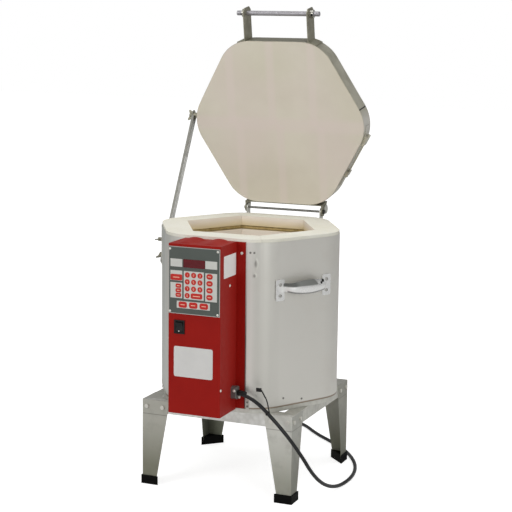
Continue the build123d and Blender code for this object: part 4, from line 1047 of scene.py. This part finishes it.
# The keys in millimetres: x and z of the middle, the printed surround's width, height and corner,
# and the legend, which is a numeral or the width and height of a plain bar
Key = namedtuple("Key", "x z width height corner legend")
key_pitch = 16.4
top_row = 563.3
number_column = -25.0
keys = [Key(number_column, top_row - 3 * key_pitch, 13, 13, 6.4, 0)]
for value in range(1, 10):
    row, column = divmod(value - 1, 3)
    x = number_column + key_pitch * column
    keys.append(Key(x, top_row - key_pitch * row, 13, 13, 6.4, value))
keys.append(Key(-1.0, top_row - 3 * key_pitch, 30, 13, 4, (18, 1.7)))
for row in range(4):
    keys.append(Key(32.2, top_row - key_pitch * row, 16.5, 13, 6.4, (8, 1.6)))
keys.append(Key(-53.4, 556.0, 30, 14.5, 3, (16, 1.7)))
for row in (-1, 0, 1):
    keys.append(Key(-48, 525 + 11 * row, 14, 10, 3, (7, 1.5)))
for column in (-1, 0, 1):
    keys.append(Key(-9.3 + 27.2 * column, 491.5, 22, 14.5, 5, (11, 1.6)))

# Numerals of seven strokes: each stroke's place, and whether it lies flat or stands upright
strokes = {
    "a": (0, 1, 1, 0),
    "b": (1, 0.5, 0, 1),
    "c": (1, -0.5, 0, 1),
    "d": (0, -1, 1, 0),
    "e": (-1, -0.5, 0, 1),
    "f": (-1, 0.5, 0, 1),
    "g": (0, 0, 1, 0),
}
numerals = (
    "abcdef",
    "bc",
    "abdeg",
    "abcdg",
    "bcfg",
    "acdfg",
    "acdefg",
    "abc",
    "abcdefg",
    "abcdfg",
)
numeral_half_width = 1.3
numeral_half_height = 2.4
stroke_width = 0.7
legend_sheet = 0.15 * MM
key_face_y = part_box("number_keys")[0].y


def add_bar(work, x, z, width, height):
    middle = Vector((axis_x + x * MM, key_face_y - legend_sheet / 2, z * MM))
    add_block(work, middle, (width * MM, legend_sheet, height * MM))


def add_numeral(work, value, x, z):
    for stroke in numerals[value]:
        sx, sz, flat, upright = strokes[stroke]
        width = 2 * numeral_half_width * flat + stroke_width * upright
        height = numeral_half_height * upright + stroke_width * flat
        add_bar(work, x + sx * numeral_half_width, z + sz * numeral_half_height, width, height)


def make_legends(work):
    for key in keys:
        if isinstance(key.legend, int):
            add_numeral(work, key.legend, key.x, key.z)
        else:
            add_bar(work, key.x, key.z, *key.legend)


piece("key_legends", make_legends, legend_finish, "kiln")

# Printed red surrounds on the panels, a little wider than the keys
panel_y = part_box("key_panels")[0].y
surround_sheet = 0.1 * MM
surrounds = []
for key in keys:
    middle = Vector((axis_x + key.x * MM, panel_y, key.z * MM))
    sizes = (key.width * MM, key.height * MM, key.corner * MM, surround_sheet)
    surrounds.append((middle, frontward, *sizes))
cards("key_surrounds", surrounds, key_finish)

# White dot on the rocker
dot_spot, dot_normal = seated("rocker", (-46.2, -340, 432))[0]
dot_profile = profile_in_mm((0, 1.4), (0.15, 1.4), (0.2, 1.2))
piece(
    "rocker_mark",
    lambda work: add_lathe(work, dot_spot, dot_normal, dot_profile, segments=12),
    side_paper_finish,
    "rocker",
)

# Bare plates where the kiln has its labels
label_sheet = 0.25 * MM
front_face_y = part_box("switch_body")[0].y + 2.0 * MM
front_label_at = Vector((axis_x - 10.0 * MM, front_face_y, 353.2 * MM))
front_label = (front_label_at, frontward, 101 * MM, 73.6 * MM, 5 * MM, label_sheet)
cards("front_label", [front_label], paper_finish)
box_side_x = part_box("box_top")[1].x + 1.5 * MM
side_label_at = Vector((box_side_x, axis_y - 257 * MM, 583 * MM))
side_label = (side_label_at, rightward, 70 * MM, 53 * MM, 2 * MM, label_sheet)
cards("side_label", [side_label], side_paper_finish)

# Floor, world and lights
floor_half_width = 14
floor_mesh = bpy.data.meshes.new("floor")
floor_work = bmesh.new()
bmesh.ops.create_grid(floor_work, x_segments=1, y_segments=1, size=floor_half_width)
floor_work.to_mesh(floor_mesh)
floor_work.free()
floor_mesh.materials.append(floor_white())
floor = bpy.data.objects.new("floor", floor_mesh)
floor.location = (0, 0, -0.5 * MM)
bpy.context.collection.objects.link(floor)

# White to the camera; to the kiln a studio that is pale at the horizon and darker overhead
world = bpy.data.worlds.new("studio")
world.use_nodes = True
bpy.context.scene.world = world
world_nodes = world.node_tree.nodes
world_links = world.node_tree.links
sky = world_nodes["Background"]
sky.inputs["Strength"].default_value = 1.0
rays = world_nodes.new("ShaderNodeLightPath")
around = world_nodes.new("ShaderNodeTexCoord")
heights = world_nodes.new("ShaderNodeSeparateXYZ")
world_links.new(around.outputs["Generated"], heights.inputs["Vector"])
shade = world_nodes.new("ShaderNodeValToRGB")
horizon, overhead = shade.color_ramp.elements
horizon.position = 0.0
horizon.color = studio_grey
overhead.position = 0.55
overhead.color = grey(0.2)
world_links.new(heights.outputs["Z"], shade.inputs["Fac"])
sky_mix = world_nodes.new("ShaderNodeMix")
sky_mix.data_type = "RGBA"
sky_mix.inputs["B"].default_value = grey(1.0)
world_links.new(shade.outputs["Color"], sky_mix.inputs["A"])
world_links.new(rays.outputs["Is Camera Ray"], sky_mix.inputs["Factor"])
world_links.new(sky_mix.outputs["Result"], sky.inputs["Color"])


def softbox(name, place, aim, size, power):
    data = bpy.data.lights.new(name, "AREA")
    data.shape = "RECTANGLE"
    data.size, data.size_y = size
    data.energy = power
    lamp = bpy.data.objects.new(name, data)
    bpy.context.collection.objects.link(lamp)
    way = (Vector(aim) - Vector(place)).normalized()
    turn = way.to_track_quat("-Z", "Y").to_matrix().to_4x4()
    lamp.matrix_world = Matrix.Translation(place) @ turn


softbox("key_light", place=(-1.9, -3.4, 2.4), aim=(0, 0, 0.55), size=(1.8, 1.8), power=51)
softbox("fill_light", place=(3.0, -2.6, 1.7), aim=(0, 0, 0.5), size=(1.6, 2.0), power=40)
softbox("top_light", place=(0.2, -0.2, 3.6), aim=(0, 0, 0.5), size=(2.4, 2.4), power=55)

bpy.context.scene.view_settings.view_transform = "Standard"
